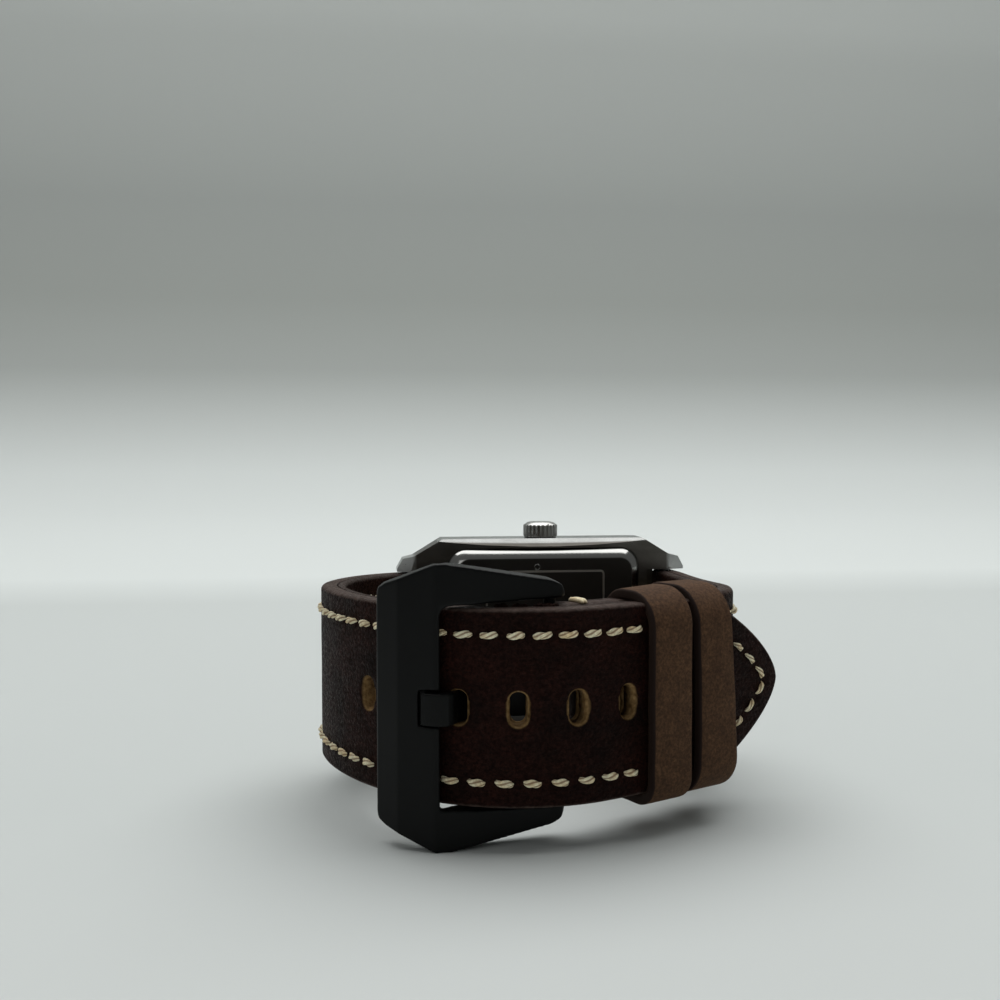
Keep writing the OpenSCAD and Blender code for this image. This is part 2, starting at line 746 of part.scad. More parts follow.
module coil() {
    color([0.7, 0.35, 0.15]) head() translate(coil_at) rotate([-90, 0, 0]) difference() {
        cylinder(h = coil_l, r = coil_r);
        translate([0, 0, -1]) cylinder(h = coil_l + 2, r = core_r);
    }
}

module coil_core() {
    color([0.6, 0.6, 0.62]) head() translate(coil_at) union() {
        rotate([-90, 0, 0]) translate([0, 0, -1]) cylinder(h = coil_l + 2, r = core_r);
        for (y = [-core_foot, coil_l]) translate([-0.6, y, -0.5])
            cube([1.2, core_foot, plate_under - level_1 + 1.1]);
    }
}

module battery() {
    color([0.7, 0.7, 0.72]) head() translate([battery_at[0], battery_at[1], 0])
        disc(plate_under + 0.4 - battery_t, plate_under + 0.4, battery_d / 2);
}

module battery_clamp() {
    z = plate_under + 0.4 - battery_t;
    color([0.75, 0.72, 0.6]) head()
        translate([battery_at[0] - clamp_w / 2, battery_at[1] - battery_d / 2 - clamp_past, z - clamp_t])
            cube([clamp_w, battery_d + 2 * clamp_past, clamp_t]);
}

// Crown

crown_foot = case_w / 2 + 0.15;
// The tube stands proud by the crown's travel and a little more, and the seal lies past its end
tube_end = case_w / 2 + crown_pull + 0.1;
seal_at = tube_end + 0.2;
seal_h = 0.25;

module crown_tube() {
    color([0.6, 0.6, 0.6]) head() translate([0, 0, stem_level]) rotate([-90, 0, 0]) difference() {
        translate([0, 0, cavity_w / 2 + 0.3]) cylinder(h = tube_end - cavity_w / 2 - 0.3, d = tube_d);
        cylinder(h = cut, r = stem_r + 0.1);
    }
}

module crown_seal() {
    color([0.1, 0.1, 0.1]) head() translate([0, 0, stem_level]) rotate([-90, 0, 0]) difference() {
        translate([0, 0, seal_at]) cylinder(h = seal_h, d = tube_d + 0.5);
        cylinder(h = cut, r = stem_r + run_clear);
    }
}

module crown() {
    flute_r = 0.28;
    color([0.45, 0.45, 0.46]) head() translate([0, 0, stem_level]) rotate([-90, 0, 0]) difference() {
        translate([0, 0, crown_foot]) rotate_extrude()
            polygon([[0, 0], [crown_d / 2 - 0.25, 0], [crown_d / 2, 0.3], [crown_d / 2, crown_h - 0.6],
                     [crown_d / 2 - 0.6, crown_h - 0.1], [crown_d / 2 - 0.9, crown_h], [0, crown_h]]);
        translate([0, 0, crown_foot - 1]) cylinder(h = seal_at + seal_h + 1 - crown_foot, d = tube_d + 0.6);
        translate([0, 0, crown_foot - 1]) cylinder(h = seal_at + 1.6 - crown_foot + 0.25, r = stem_r);
        for (i = [0:crown_flutes - 1]) rotate([0, 0, i * 360 / crown_flutes])
            translate([crown_d / 2 + 0.08, 0, crown_foot - 1]) cylinder(h = crown_h + 0.5, r = flute_r, $fn = 16);
    }
}

module setting_stem() {
    color([0.55, 0.55, 0.55]) head() translate([0, 0, stem_level]) rotate([-90, 0, 0])
        translate([0, 0, plate_w / 2 - 3.4]) cylinder(h = seal_at + 0.85 - plate_w / 2 + 3.4, r = stem_r);
}

// Spring bars

module spring_bar_tubes() {
    color([0.6, 0.6, 0.6]) head() for (s = [-1, 1]) translate([s * bar_x, 0, strap_start[1]])
        rotate([90, 0, 0]) difference() {
            cylinder(h = strap_w + 0.2, d = bar_d, center = true);
            cylinder(h = strap_w + 2, d = bar_tip_d + 0.04, center = true);
        }
}

// One sprung tip: side is -1 at 6 o'clock and 1 at 12 o'clock, end is 1 on the crown side
module spring_bar_tip(side, end) {
    color([0.7, 0.7, 0.7]) head() translate([-side * bar_x, end * (lug_gap / 2 + bar_tip_l), strap_start[1]])
        rotate([end * 90, 0, 0]) cylinder(h = bar_tip_l + 3, d = bar_tip_d);
}

module tip_6_upper() {
    spring_bar_tip(-1, 1);
}

module tip_6_lower() {
    spring_bar_tip(-1, -1);
}

module tip_12_upper() {
    spring_bar_tip(1, 1);
}

module tip_12_lower() {
    spring_bar_tip(1, -1);
}

// Strap

module long_band(a, b, v0, v1) {
    linear_extrude(strap_w, center = true)
        polygon(concat(long_side(a, b, v1), reversed(long_side(a, b, v0))));
}

module short_band(a, b, v0, v1) {
    linear_extrude(strap_w, center = true)
        polygon(concat(short_side(a, b, v1), reversed(short_side(a, b, v0))));
}

// Cross section of an upper leather at a station: its two outer edges are bevelled
function upper_section(p) =
    let (w = strap_w / 2, top = strap_t / 2)
    [for (q = [[upper_v, -w], [top - edge_bevel, -w], [top, edge_bevel - w], [top, w - edge_bevel],
               [top - edge_bevel, w], [upper_v, w]])
        let (b = beside(p, q[0])) [b[0], b[1], q[1]]];

module upper_band(line) {
    k = 6;
    last = len(line) - 1;
    sides = [for (i = [0:last - 1], j = [0:k - 1])
        let (a = i * k + j, b = i * k + (j + 1) % k) each [[a, b, b + k], [a, b + k, a + k]]];
    first_cap = [for (j = [k - 1:-1:0]) j];
    last_cap = [for (j = [0:k - 1]) last * k + j];
    polyhedron(points = [for (p = line) each upper_section(p)], faces = concat(sides, [first_cap, last_cap]));
}

// Carries a shape to the long strap: X along it, Y across it, Z out of its face
module on_long_strap(s) {
    p = long_at(s);
    translate([p[0], p[1], 0]) rotate([0, 0, p[2]]) rotate([90, 0, 0]) children();
}

module strap_hole(l, w) {
    linear_extrude(3 * strap_t, center = true) union() {
        square([w, l - w], center = true);
        for (s = [-1, 1]) translate([0, s * (l - w) / 2]) circle(d = w);
    }
}

module strap_holes() {
    for (i = [0:hole_count - 1]) on_long_strap(strap_l - tip_to_hole - i * hole_pitch)
        strap_hole(hole_l, hole_w);
}

// Half width of the pointed tip at a distance from its point
function tip_half(d) = strap_w / 2 * pow(d / tip_l, 0.6);
tip_steps = 14;
tip_side = [for (i = [0:tip_steps]) let (d = tip_l * pow(i / tip_steps, 1.7)) [tip_l - d, tip_half(d)]];

module tip_outline() {
    polygon(concat([[-cut, strap_w]], [[0, strap_w]], reversed(tip_side),
                   [for (p = tip_side) [p[0], -p[1]]], [[0, -strap_w]], [[-cut, -strap_w]]));
}

module tip_cutter() {
    on_long_strap(strap_l - tip_l) linear_extrude(6 * strap_t, center = true) difference() {
        translate([0, -strap_w]) square([tip_l + 5, 2 * strap_w]);
        tip_outline();
    }
}

module spring_bar_bore(s) {
    translate([s * bar_x, strap_start[1], 0]) cylinder(h = cut, d = bar_d + 0.04, center = true);
}

module long_strap_upper() {
    color([0.15, 0.09, 0.07]) placed() difference() {
        union() {
            upper_band([for (s = stations(0, strap_l)) long_at(s)]);
            translate([-bar_x, strap_start[1], 0]) cylinder(h = strap_w, d = strap_t, center = true);
        }
        strap_holes();
        tip_cutter();
        spring_bar_bore(-1);
    }
}

// Room for the rolled leather round a bar, where the lining stops
module rolled_end(p) {
    translate([p[0], p[1], 0]) cylinder(h = cut, d = strap_t + 0.1, center = true);
}

module long_strap_lining() {
    color([0.3, 0.2, 0.14]) placed() difference() {
        long_band(0, strap_l, -strap_t / 2, upper_v);
        strap_holes();
        tip_cutter();
        rolled_end([-bar_x, strap_start[1]]);
    }
}

tongue_slot_w = tongue_w + 1.2;

module tongue_slot() {
    translate([pin[0], pin[1], 0]) cube([2 * strap_t + 3, 3 * strap_t, tongue_slot_w], center = true);
}

module pin_bore(r) {
    translate([pin[0], pin[1], 0]) cylinder(h = cut, r = r, center = true);
}

module short_strap_upper() {
    color([0.15, 0.09, 0.07]) placed() difference() {
        union() {
            upper_band([for (s = stations(pin_s, short_end)) short_at(s)]);
            translate([pin[0], pin[1], 0]) cylinder(h = strap_w, d = strap_t, center = true);
            translate([bar_x, strap_start[1], 0]) cylinder(h = strap_w, d = strap_t, center = true);
        }
        tongue_slot();
        pin_bore(pin_d / 2 + 0.05);
        spring_bar_bore(1);
    }
}

module short_strap_lining() {
    color([0.3, 0.2, 0.14]) placed() difference() {
        short_band(pin_s, short_end, -strap_t / 2, upper_v);
        tongue_slot();
        rolled_end(pin);
        rolled_end(lug_point);
    }
}

// Keepers: a band round both straps at a place along them
module keeper(s, play, inner_play) {
    a = s - keeper_w / 2;
    b = s + keeper_w / 2;
    out = strap_t / 2 + play;
    in = -strap_t / 2 - lay - inner_play;
    height = strap_w + 2 * play;
    difference() {
        intersection() {
            linear_extrude(height + 2 * keeper_t, center = true)
                polygon(concat(long_side(a, b, out + keeper_t), reversed(long_side(a, b, in - keeper_t))));
            on_long_strap(s) rotate([0, 90, 0]) translate([-(out + in) / 2, 0, -keeper_w])
                linear_extrude(2 * keeper_w)
                    rounded_square(out - in + 2 * keeper_t + 0.1, height + 2 * keeper_t, keeper_r);
        }
        linear_extrude(height, center = true)
            polygon(concat(long_side(a - 1, b + 1, out), reversed(long_side(a - 1, b + 1, in))));
    }
}

module fixed_keeper() {
    color([0.31, 0.23, 0.18]) placed() keeper(keeper_1_s, keeper_play, 0);
}

module sliding_keeper() {
    color([0.31, 0.23, 0.18]) placed() keeper(keeper_2_s, keeper_play, keeper_play);
}

// Buckle, drawn from its pin: U runs to the free edge, V out from the wrist
ridge_v = 4.2;
bevel_u = 18.9;
bevel_v = 2.1;
edge_v = -0.4;
bar_in_u = edge_reach - front_bar;
bar_in_v = 2.85;
notch_depth = 0.9;
// The tongue's middle line runs under the strap, turns to cross the hole square to it and bends over the bar
hole_point = long_at(used_hole_s);
tongue_bias = 0.25;
hole_uv = [pin[0] - hole_point[0] + tongue_bias * cos(hole_point[2]),
           pin[1] - hole_point[1] + tongue_bias * sin(hole_point[2])];
cross_angle = atan2(cos(hole_point[2]), -sin(hole_point[2]));
tongue_from = [1.2, 0, -4];
tongue_bend_r = 1.9;
tongue_over_r = 1.6;
head_angle = -14;
head_l = 2.7;
head_r = 9;
bend_l = (cross_angle - tongue_from[2]) * PI / 180 * tongue_bend_r;
over_l = (cross_angle - head_angle) * PI / 180 * tongue_over_r;
bend_end = arc_step(tongue_from, bend_l, tongue_bend_r);
past_bend = [hole_uv[0] - bend_end[0], hole_uv[1] - bend_end[1]];
shank_l = (past_bend[0] * sin(cross_angle) - past_bend[1] * cos(cross_angle))
          / sin(cross_angle - tongue_from[2]);
shank_end = [past_bend[0] - shank_l * cos(tongue_from[2]), past_bend[1] - shank_l * sin(tongue_from[2])];
cross_l = norm(shank_end) + strap_t / 2 + 0.2;
tongue_run = [[shank_l, 0], [bend_l, tongue_bend_r], [cross_l, 0], [over_l, -tongue_over_r], [head_l, -head_r]];
tongue_l = shank_l + bend_l + cross_l + over_l + head_l;

module from_pin() {
    translate([pin[0], pin[1], 0]) mirror([0, 1, 0]) mirror([1, 0, 0]) children();
}

module buckle_side() {
    union() {
        cylinder(h = cut, r = eye_r, center = true);
        linear_extrude(cut, center = true)
            polygon([[0, eye_r - 0.02], [ridge_reach - 5, ridge_v - 0.35], [ridge_reach, ridge_v],
                     [bevel_u, bevel_v], [edge_reach, edge_v], [edge_reach - 0.2, edge_v - 0.9],
                     [edge_reach - 0.9, edge_v - 1.3], [bar_in_u, bar_in_v], [bar_in_u - 1.4, bar_in_v - 1.3],
                     [0, -eye_r + 0.02]]);
    }
}

// Front view of the buckle, half of it mirrored about the strap's middle
function buckle_half() = [
    [-eye_r, buckle_hinge_w / 2 - 1.6], [-eye_r + 0.5, buckle_hinge_w / 2 - 0.5],
    [-eye_r + 1.9, buckle_hinge_w / 2 + 0.15], [ridge_reach - apex_l, buckle_w / 2], [ridge_reach, buckle_w / 2],
    [edge_reach - 1, buckle_edge_w / 2 + 0.35], [edge_reach - 0.2, buckle_edge_w / 2 - 0.3],
    [edge_reach, buckle_edge_w / 2 - 1.4]
];

module buckle_front() {
    polygon(concat(buckle_half(), [for (p = reversed(buckle_half())) [p[0], -p[1]]]));
}

module buckle_frame() {
    color([0.11, 0.12, 0.12]) placed() from_pin() difference() {
        intersection() {
            buckle_side();
            rotate([90, 0, 0]) translate([0, 0, -cut / 2]) linear_extrude(cut) buckle_front();
        }
        translate([-10, -cut / 2, -strap_w / 2 - buckle_play]) cube([10 + bar_in_u, cut, strap_w + 2 * buckle_play]);
        cylinder(h = buckle_hinge_w - 2, d = pin_d, center = true);
        notch_cut();
    }
}

module notch_cut() {
    linear_extrude(tongue_w + 0.5, center = true)
        polygon([[bar_in_u - 1, ridge_v - notch_depth + 0.1], [ridge_reach, ridge_v - notch_depth],
                 [ridge_reach + 2.4, ridge_v - notch_depth - 1.2], [ridge_reach + 2.4, ridge_v + 2],
                 [bar_in_u - 1, ridge_v + 2]]);
}

module buckle_tongue() {
    steps = 24;
    line = [for (i = [0:steps]) along(tongue_from, tongue_run, tongue_l * i / steps)];
    half = tongue_t / 2;
    color([0.11, 0.12, 0.12]) placed() from_pin() difference() {
        union() {
            cylinder(h = tongue_w, r = pin_d / 2 + 0.9, center = true);
            linear_extrude(tongue_w, center = true)
                polygon(concat([for (p = line) beside(p, -half)], reversed([for (p = line) beside(p, half)])));
        }
        cylinder(h = cut, r = pin_d / 2 + 0.05, center = true);
    }
}

module buckle_pin() {
    color([0.11, 0.12, 0.12]) placed() translate([pin[0], pin[1], 0])
        cylinder(h = buckle_hinge_w - 2, d = pin_d, center = true);
}

case_middle();
bezel();
crystal();
crystal_gasket();
case_back();
case_back_gasket();
dial();
dial_ring();
hour_markers();
movement_ring();
main_plate();
train_bridge();
circuit_board();
coil();
coil_core();
stator();
battery();
battery_clamp();
movement_screws();
cannon_pinion();
minute_hand();
hour_wheel();
hour_hand();
minute_wheel();
seconds_wheel();
second_hand();
centre_wheel();
third_wheel();
intermediate_wheel();
rotor();
crown_tube();
crown_seal();
crown();
setting_stem();
spring_bar_tubes();
tip_6_upper();
tip_6_lower();
tip_12_upper();
tip_12_lower();
long_strap_upper();
long_strap_lining();
short_strap_upper();
short_strap_lining();
fixed_keeper();
sliding_keeper();
buckle_frame();
buckle_tongue();
buckle_pin();
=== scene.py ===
import json
import math
import random
import bmesh
import bpy
import numpy as np
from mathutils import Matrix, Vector, noise
from mathutils.geometry import delaunay_2d_cdt

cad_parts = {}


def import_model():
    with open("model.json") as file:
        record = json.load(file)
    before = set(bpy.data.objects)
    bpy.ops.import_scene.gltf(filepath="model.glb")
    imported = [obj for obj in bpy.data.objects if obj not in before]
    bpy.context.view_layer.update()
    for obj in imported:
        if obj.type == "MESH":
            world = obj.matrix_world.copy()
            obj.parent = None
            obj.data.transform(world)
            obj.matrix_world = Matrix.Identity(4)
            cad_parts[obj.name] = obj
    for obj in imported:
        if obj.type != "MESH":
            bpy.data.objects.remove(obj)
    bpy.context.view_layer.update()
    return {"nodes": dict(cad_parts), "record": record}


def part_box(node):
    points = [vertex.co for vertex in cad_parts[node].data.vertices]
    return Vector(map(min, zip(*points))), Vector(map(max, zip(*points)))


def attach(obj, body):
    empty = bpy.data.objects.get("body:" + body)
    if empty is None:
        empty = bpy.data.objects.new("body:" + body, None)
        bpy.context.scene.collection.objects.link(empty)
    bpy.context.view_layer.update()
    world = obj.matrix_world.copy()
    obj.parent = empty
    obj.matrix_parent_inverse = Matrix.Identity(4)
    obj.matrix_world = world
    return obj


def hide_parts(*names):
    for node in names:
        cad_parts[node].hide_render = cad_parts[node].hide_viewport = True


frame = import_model()
random.seed(7)

# Sizes in millimetres in the case's own frame: x to 12 o'clock, y the way the dial faces, z to the crown.
# On a strap, s is the distance along the long one from its spring bar, v runs out of the strap's face from
# the middle of its thickness, and z runs across it.
LO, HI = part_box("crystal")
CRYSTAL_TOP = 4.2
CASE_X = 1000 * (LO.x + HI.x) / 2
CASE_Y = 1000 * HI.y - CRYSTAL_TOP
CASE_Z = 1000 * (LO.z + HI.z) / 2
BAR_X, BAR_Y = 20.3, -0.5
STRAP_W, STRAP_T, UPPER_T = 24.0, 3.5, 2.3
HALF_W, V_TOP, V_MID = STRAP_W / 2, STRAP_T / 2, STRAP_T / 2 - UPPER_T
STRAP_HEADING = 196
STRAP_ARCS = [(24.5, 16.7), (24.0, 35.0), (22.5, 20.0), (30.2, 200.0)]  # length and radius of each
TIP_END, TIP_L = 101.2, 14.0
HOLE_PITCH, HOLE_L, HOLE_W, HOLES, TIP_TO_HOLE = 6.85, 4.7, 2.6, 7, 20.4
USED_HOLE = 53.4
PIN_S = USED_HOLE + 11.8
KEEPER_W, KEEPER_T, KEEPER_PLAY, KEEPER_ROUND = 7.0, 1.3, 0.35, 0.32
KEEPER_1 = PIN_S + 14.3
KEEPER_2 = KEEPER_1 + KEEPER_W + 1.3
LAY = STRAP_T + 0.3  # the short strap lies this far inside the long one
TURN_S = KEEPER_2 + KEEPER_W / 2 + 1.4  # there it leaves the long one and bends back to the case
TURN_R, TURN_PULL = 9.0, 1.0
SLOT, SLOT_L = 2.55, 3.3  # the opening for the tongue: half its width, and its reach past the pin
STITCH_IN, STITCH_PITCH, STITCH_L = 3.1, 3.0, 2.5
ROW_Z = HALF_W - STITCH_IN
ROLL_R = 1.35  # a strap's end rolls round its bar at this radius, over half a turn
ROLL = math.pi * ROLL_R


def world(x, y, z):
    return Vector(((x + CASE_X) / 1000, (y + CASE_Y) / 1000, (z + CASE_Z) / 1000))


# The strap's middle line: x, y and heading at a distance along a chain of arcs, of which one with radius 0
# is straight
def arc(p, length, radius):
    x, y, h = p
    if radius == 0:
        return x + length * math.cos(h), y + length * math.sin(h), h
    turn = length / radius
    return (x + radius * (math.sin(h + turn) - math.sin(h)),
            y - radius * (math.cos(h + turn) - math.cos(h)), h + turn)


def along(p, run, s):
    for length, radius in run:
        if s <= length:
            return arc(p, s, radius)
        p = arc(p, length, radius)
        s -= length
    return arc(p, s, 0)


def beside(p, v):
    return p[0] + v * math.sin(p[2]), p[1] - v * math.cos(p[2]), p[2]


def long_at(s):
    return along((-BAR_X, BAR_Y, math.radians(STRAP_HEADING)), STRAP_ARCS, s)


TURN_FROM = beside(long_at(TURN_S), -LAY)
TURN_CENTRE = beside(TURN_FROM, -TURN_R)
TO_LUG = (BAR_X - TURN_CENTRE[0], BAR_Y - TURN_CENTRE[1])
LUG_D = math.hypot(*TO_LUG)
TURN_END = math.atan2(TO_LUG[1], TO_LUG[0]) - math.acos(TURN_R / LUG_D) + math.pi / 2
TURN_L = (TURN_END + 2 * math.pi - TURN_FROM[2]) * TURN_R
SHORT_END = TURN_S + TURN_L + math.sqrt(LUG_D ** 2 - TURN_R ** 2)


def short_at(s):
    """The short strap's middle line, whose bend at the far right is pulled in a little."""
    if s <= TURN_S:
        return beside(long_at(s), -LAY)
    p = along(TURN_FROM, [(TURN_L, TURN_R), (1000.0, 0.0)], s - TURN_S)
    t = (s - TURN_S) / (SHORT_END - TURN_S)
    return beside(p, -TURN_PULL * math.sin(math.pi * t) ** 2) if 0 < t < 1 else p


def strap_point(at, s, v, z):
    x, y, _ = beside(at(s), v)
    return world(x, y, z)


def rolled_point(at, s, v, z, bar_s):
    """A point of a strap's end, which rolls round the bar at bar_s."""
    x, y, h = at(bar_s)
    a = h - math.pi / 2 + (s - bar_s) / ROLL_R
    return world(x + v * math.cos(a), y + v * math.sin(a), z)


def link_object(name, data):
    obj = bpy.data.objects.new(name, data)
    bpy.context.scene.collection.objects.link(obj)
    return obj


def new_object(name, verts, faces, material, smooth=True):
    mesh = bpy.data.meshes.new(name)
    mesh.from_pydata([tuple(v) for v in verts], [], faces)
    obj = link_object(name, mesh)
    mesh.materials.append(material)
    if smooth:
        mesh.polygons.foreach_set("use_smooth", [True] * len(mesh.polygons))
    mesh.update()
    return obj


def skin(rows, cols, first=0, closed=False, turned=False):
    """Quads over rows of points, each row a ring; closed joins the last row to the first."""
    faces = []
    for i in range(rows if closed else rows - 1):
        a, b = first + i * cols, first + (i + 1) % rows * cols
        for j in range(cols):
            k = (j + 1) % cols
            faces.append((a + j, b + j, b + k, a + k) if turned else (a + j, a + k, b + k, b + j))
    return faces


def rod(rows, cols):
    """The same with both ends closed."""
    last = (rows - 1) * cols
    return skin(rows, cols) + [tuple(range(cols))[::-1], tuple(range(last, last + cols))]


def join(parts):
    """The points and faces of several meshes as those of one."""
    verts, faces = [], []
    for v, f in parts:
        faces += [tuple(i + len(verts) for i in q) for q in f]
        verts += v
    return verts, faces


def corners(half_x, half_z, radii, n):
    """The points of a rectangle's four rounded corners, anticlockwise."""
    for (cx, cz, a0), r in zip(((1, 1, 0), (-1, 1, 90), (-1, -1, 180), (1, -1, 270)), radii):
        for i in range(n + 1):
            a = math.radians(a0 + 90 * i / n)
            yield cx * (half_x - r) + r * math.cos(a), cz * (half_z - r) + r * math.sin(a)


def point_value(obj, name, values):
    a = obj.data.attributes.new(name, "FLOAT", "POINT")
    a.data.foreach_set("value", np.asarray(values, np.float32))


def stand_for(obj, node, body):
    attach(obj, body)
    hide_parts(node)


# Materials
def srgb(r, g, b):
    return tuple((c / 255 / 12.92) if c / 255 <= 0.04045 else ((c / 255 + 0.055) / 1.055) ** 2.4
                 for c in (r, g, b)) + (1.0,)


class Mat:
    """A Principled material: noise, voronoi and attribute give values, the rest shapes and links them."""

    def __init__(self, name, rough=0.5, metal=0.0, spec=0.5):
        self.m = bpy.data.materials.new(name)
        self.m.use_nodes = True
        self.t = self.m.node_tree
        self.b = self.t.nodes["Principled BSDF"]
        self.b.inputs["Roughness"].default_value = rough
        self.b.inputs["Metallic"].default_value = metal
        self.b.inputs["Specular IOR Level"].default_value = spec
        self.coord = self.t.nodes.new("ShaderNodeTexCoord").outputs["Object"]

    def link(self, a, b):
        self.t.links.new(a, b)

    def mapping(self, scale):
        n = self.t.nodes.new("ShaderNodeMapping")
        n.inputs["Scale"].default_value = scale
        self.link(self.coord, n.inputs["Vector"])
        return n.outputs[0]

    def noise(self, scale, detail=4.0, rough=0.55, stretch=None, distortion=0.0):
        n = self.t.nodes.new("ShaderNodeTexNoise")
        n.inputs["Scale"].default_value = scale
        n.inputs["Detail"].default_value = detail
        n.inputs["Roughness"].default_value = rough
        n.inputs["Distortion"].default_value = distortion
        self.link(self.mapping(stretch) if stretch else self.coord, n.inputs["Vector"])
        return n.outputs["Fac"]

    def voronoi(self, scale):
        n = self.t.nodes.new("ShaderNodeTexVoronoi")
        n.feature = "DISTANCE_TO_EDGE"
        n.inputs["Scale"].default_value = scale
        self.link(self.coord, n.inputs["Vector"])
        return n.outputs["Distance"]

    def split(self, vector):
        n = self.t.nodes.new("ShaderNodeSeparateXYZ")
        self.link(vector, n.inputs[0])
        return n.outputs

    def attribute(self, name):
        n = self.t.nodes.new("ShaderNodeAttribute")
        n.attribute_name = name
        return n.outputs["Fac"]

    def ramp(self, value, stops):
        n = self.t.nodes.new("ShaderNodeValToRGB")
        e = n.color_ramp.elements
        while len(e) > len(stops):
            e.remove(e[-1])
        while len(e) < len(stops):
            e.new(1.0)
        for k, (pos, col) in zip(e, stops):
            k.position = pos
            k.color = col if isinstance(col, tuple) else (col, col, col, 1)
        self.link(value, n.inputs["Fac"])
        return n.outputs["Color"]

    def mix(self, fac, a, b, mode="MIX"):
        n = self.t.nodes.new("ShaderNodeMix")
        n.data_type = "RGBA"
        n.blend_type = mode
        for k, x in ((0, fac), (6, a), (7, b)):
            if isinstance(x, (int, float, tuple)):
                n.inputs[k].default_value = x
            else:
                self.link(x, n.inputs[k])
        return n.outputs[2]

    def shade(self, fac, colour, value, stops):
        """The colour times what the ramp makes of the value."""
        return self.mix(fac, colour, self.ramp(value, stops), "MULTIPLY")

    def math(self, op, a, b=0.0, c=0.0):
        n = self.t.nodes.new("ShaderNodeMath")
        n.operation = op
        for k, x in ((0, a), (1, b), (2, c)):
            if isinstance(x, (int, float)):
                n.inputs[k].default_value = x
            else:
                self.link(x, n.inputs[k])
        return n.outputs[0]

    def bump(self, height, strength, distance, normal=None):
        n = self.t.nodes.new("ShaderNodeBump")
        n.inputs["Strength"].default_value = strength
        n.inputs["Distance"].default_value = distance / 1000
        self.link(height, n.inputs["Height"])
        if normal is not None:
            self.link(normal, n.inputs["Normal"])
        return n.outputs["Normal"]

    def base(self, colour):
        self.link(colour, self.b.inputs["Base Color"])

    def rough(self, value):
        self.link(value, self.b.inputs["Roughness"])

    def normal(self, value):
        self.link(value, self.b.inputs["Normal"])


def leather(name, dark, light, edge, grain=1.0):
    """Painted at its cut edges, tan where a hole's rim is burnished, and with painted shade and light along
    its creases.
    """
    k = Mat(name, 0.58, 0.0, 0.07)
    cloud = k.noise(180, 5, 0.6)
    fine = k.noise(2600, 3, 0.6)
    colour = k.ramp(cloud, [(0.3, dark), (0.72, light)])
    colour = k.shade(0.6, colour, fine, [(0.25, 0.4), (0.75, 1.0)])
    fleck = k.noise(2200, 4, 0.75)
    crease = k.noise(700, 5, 0.7, (1, 1, 2.4), 1.2)
    colour = k.shade(0.7, colour, fleck, [(0.4, 0.45), (0.64, 1.9)])
    # Painted shade and light of the creases: the crease noise darkens the colour in its troughs and lightens
    # it on its ridges.
    colour = k.shade(0.5, colour, crease, [(0.42, 0.5), (0.58, 1.3)])
    rim = k.ramp(k.math("ADD", k.attribute("edge"), k.math("MULTIPLY", k.noise(900, 2), 0.3)),
                 [(0.72, 0.0), (1.0, 1.0)])
    paint = k.ramp(k.noise(900, 5), [(0.3, tuple(0.5 * c for c in edge[:3]) + (1,)), (0.78, edge)])
    burn = k.ramp(k.attribute("burnish"), [(0.25, 0.0), (0.8, 1.0)])
    tan = k.ramp(k.noise(1500, 3), [(0.3, srgb(96, 72, 42)), (0.7, srgb(160, 130, 88))])
    colour = k.mix(rim, colour, paint)
    colour = k.mix(burn, colour, tan)
    k.base(colour)
    pores = k.voronoi(1500 * grain)
    wrinkle = k.noise(520, 6, 0.62, (1, 1, 1.6), 0.6)
    n = k.bump(k.ramp(pores, [(0.0, 0.0), (0.28, 1.0)]), 0.6, 0.07)
    n = k.bump(wrinkle, 0.6, 0.2, n)
    n = k.bump(fleck, 0.7, 0.18, n)
    n = k.bump(crease, 0.6, 0.2, n)
    k.normal(k.bump(fine, 0.35, 0.05, n))
    k.rough(k.ramp(fleck, [(0.36, 0.8), (0.62, 0.42)]))
    return k.m


def suede(name, dark, light, cut):
    """Napped leather, darker along its cut edges: partly the cut's own colour, partly painted shade on the
    band's sides.
    """
    k = Mat(name, 0.85, 0.0, 0.2)
    mottle = k.noise(420, 6, 0.7, distortion=0.3)
    nap = k.noise(3200, 3, 0.7, (1, 1, 2.2))
    colour = k.ramp(mottle, [(0.3, dark), (0.72, light)])
    colour = k.shade(0.6, colour, nap, [(0.25, 0.6), (0.75, 1.0)])
    fleck = k.noise(2600, 4, 0.8)
    colour = k.shade(0.7, colour, fleck, [(0.4, 0.4), (0.62, 1.8)])
    # The darker cut edge is partly painted shade on the band's sides.
    colour = k.mix(k.ramp(k.attribute("edge"), [(0.4, 0.0), (0.8, 1.0)]), colour, cut)
    k.base(colour)
    n = k.bump(k.noise(900, 5, 0.7), 0.4, 0.12)
    k.normal(k.bump(nap, 0.6, 0.06, n))
    k.b.inputs["Sheen Weight"].default_value = 0.18
    k.b.inputs["Sheen Roughness"].default_value = 0.5
    k.b.inputs["Sheen Tint"].default_value = srgb(170, 130, 96)
    return k.m


def thread(name, dark, light):
    """Waxed thread, with painted shade between its strands."""
    k = Mat(name, 0.72, 0.0, 0.3)
    fibre = k.noise(2800, 4, 0.65)
    colour = k.ramp(k.noise(700, 4), [(0.3, dark), (0.6, light)])
    colour = k.shade(0.6, colour, fibre, [(0.35, 0.45), (0.62, 1.0)])
    # Painted shade between the strands: towards a valley the colour turns dark brown.
    strand_shade = k.ramp(k.attribute("valley_shade"), [(0.5, 0.0), (0.95, 0.85)])
    k.base(k.mix(strand_shade, colour, srgb(120, 84, 50)))
    k.normal(k.bump(fibre, 0.5, 0.05))
    return k.m


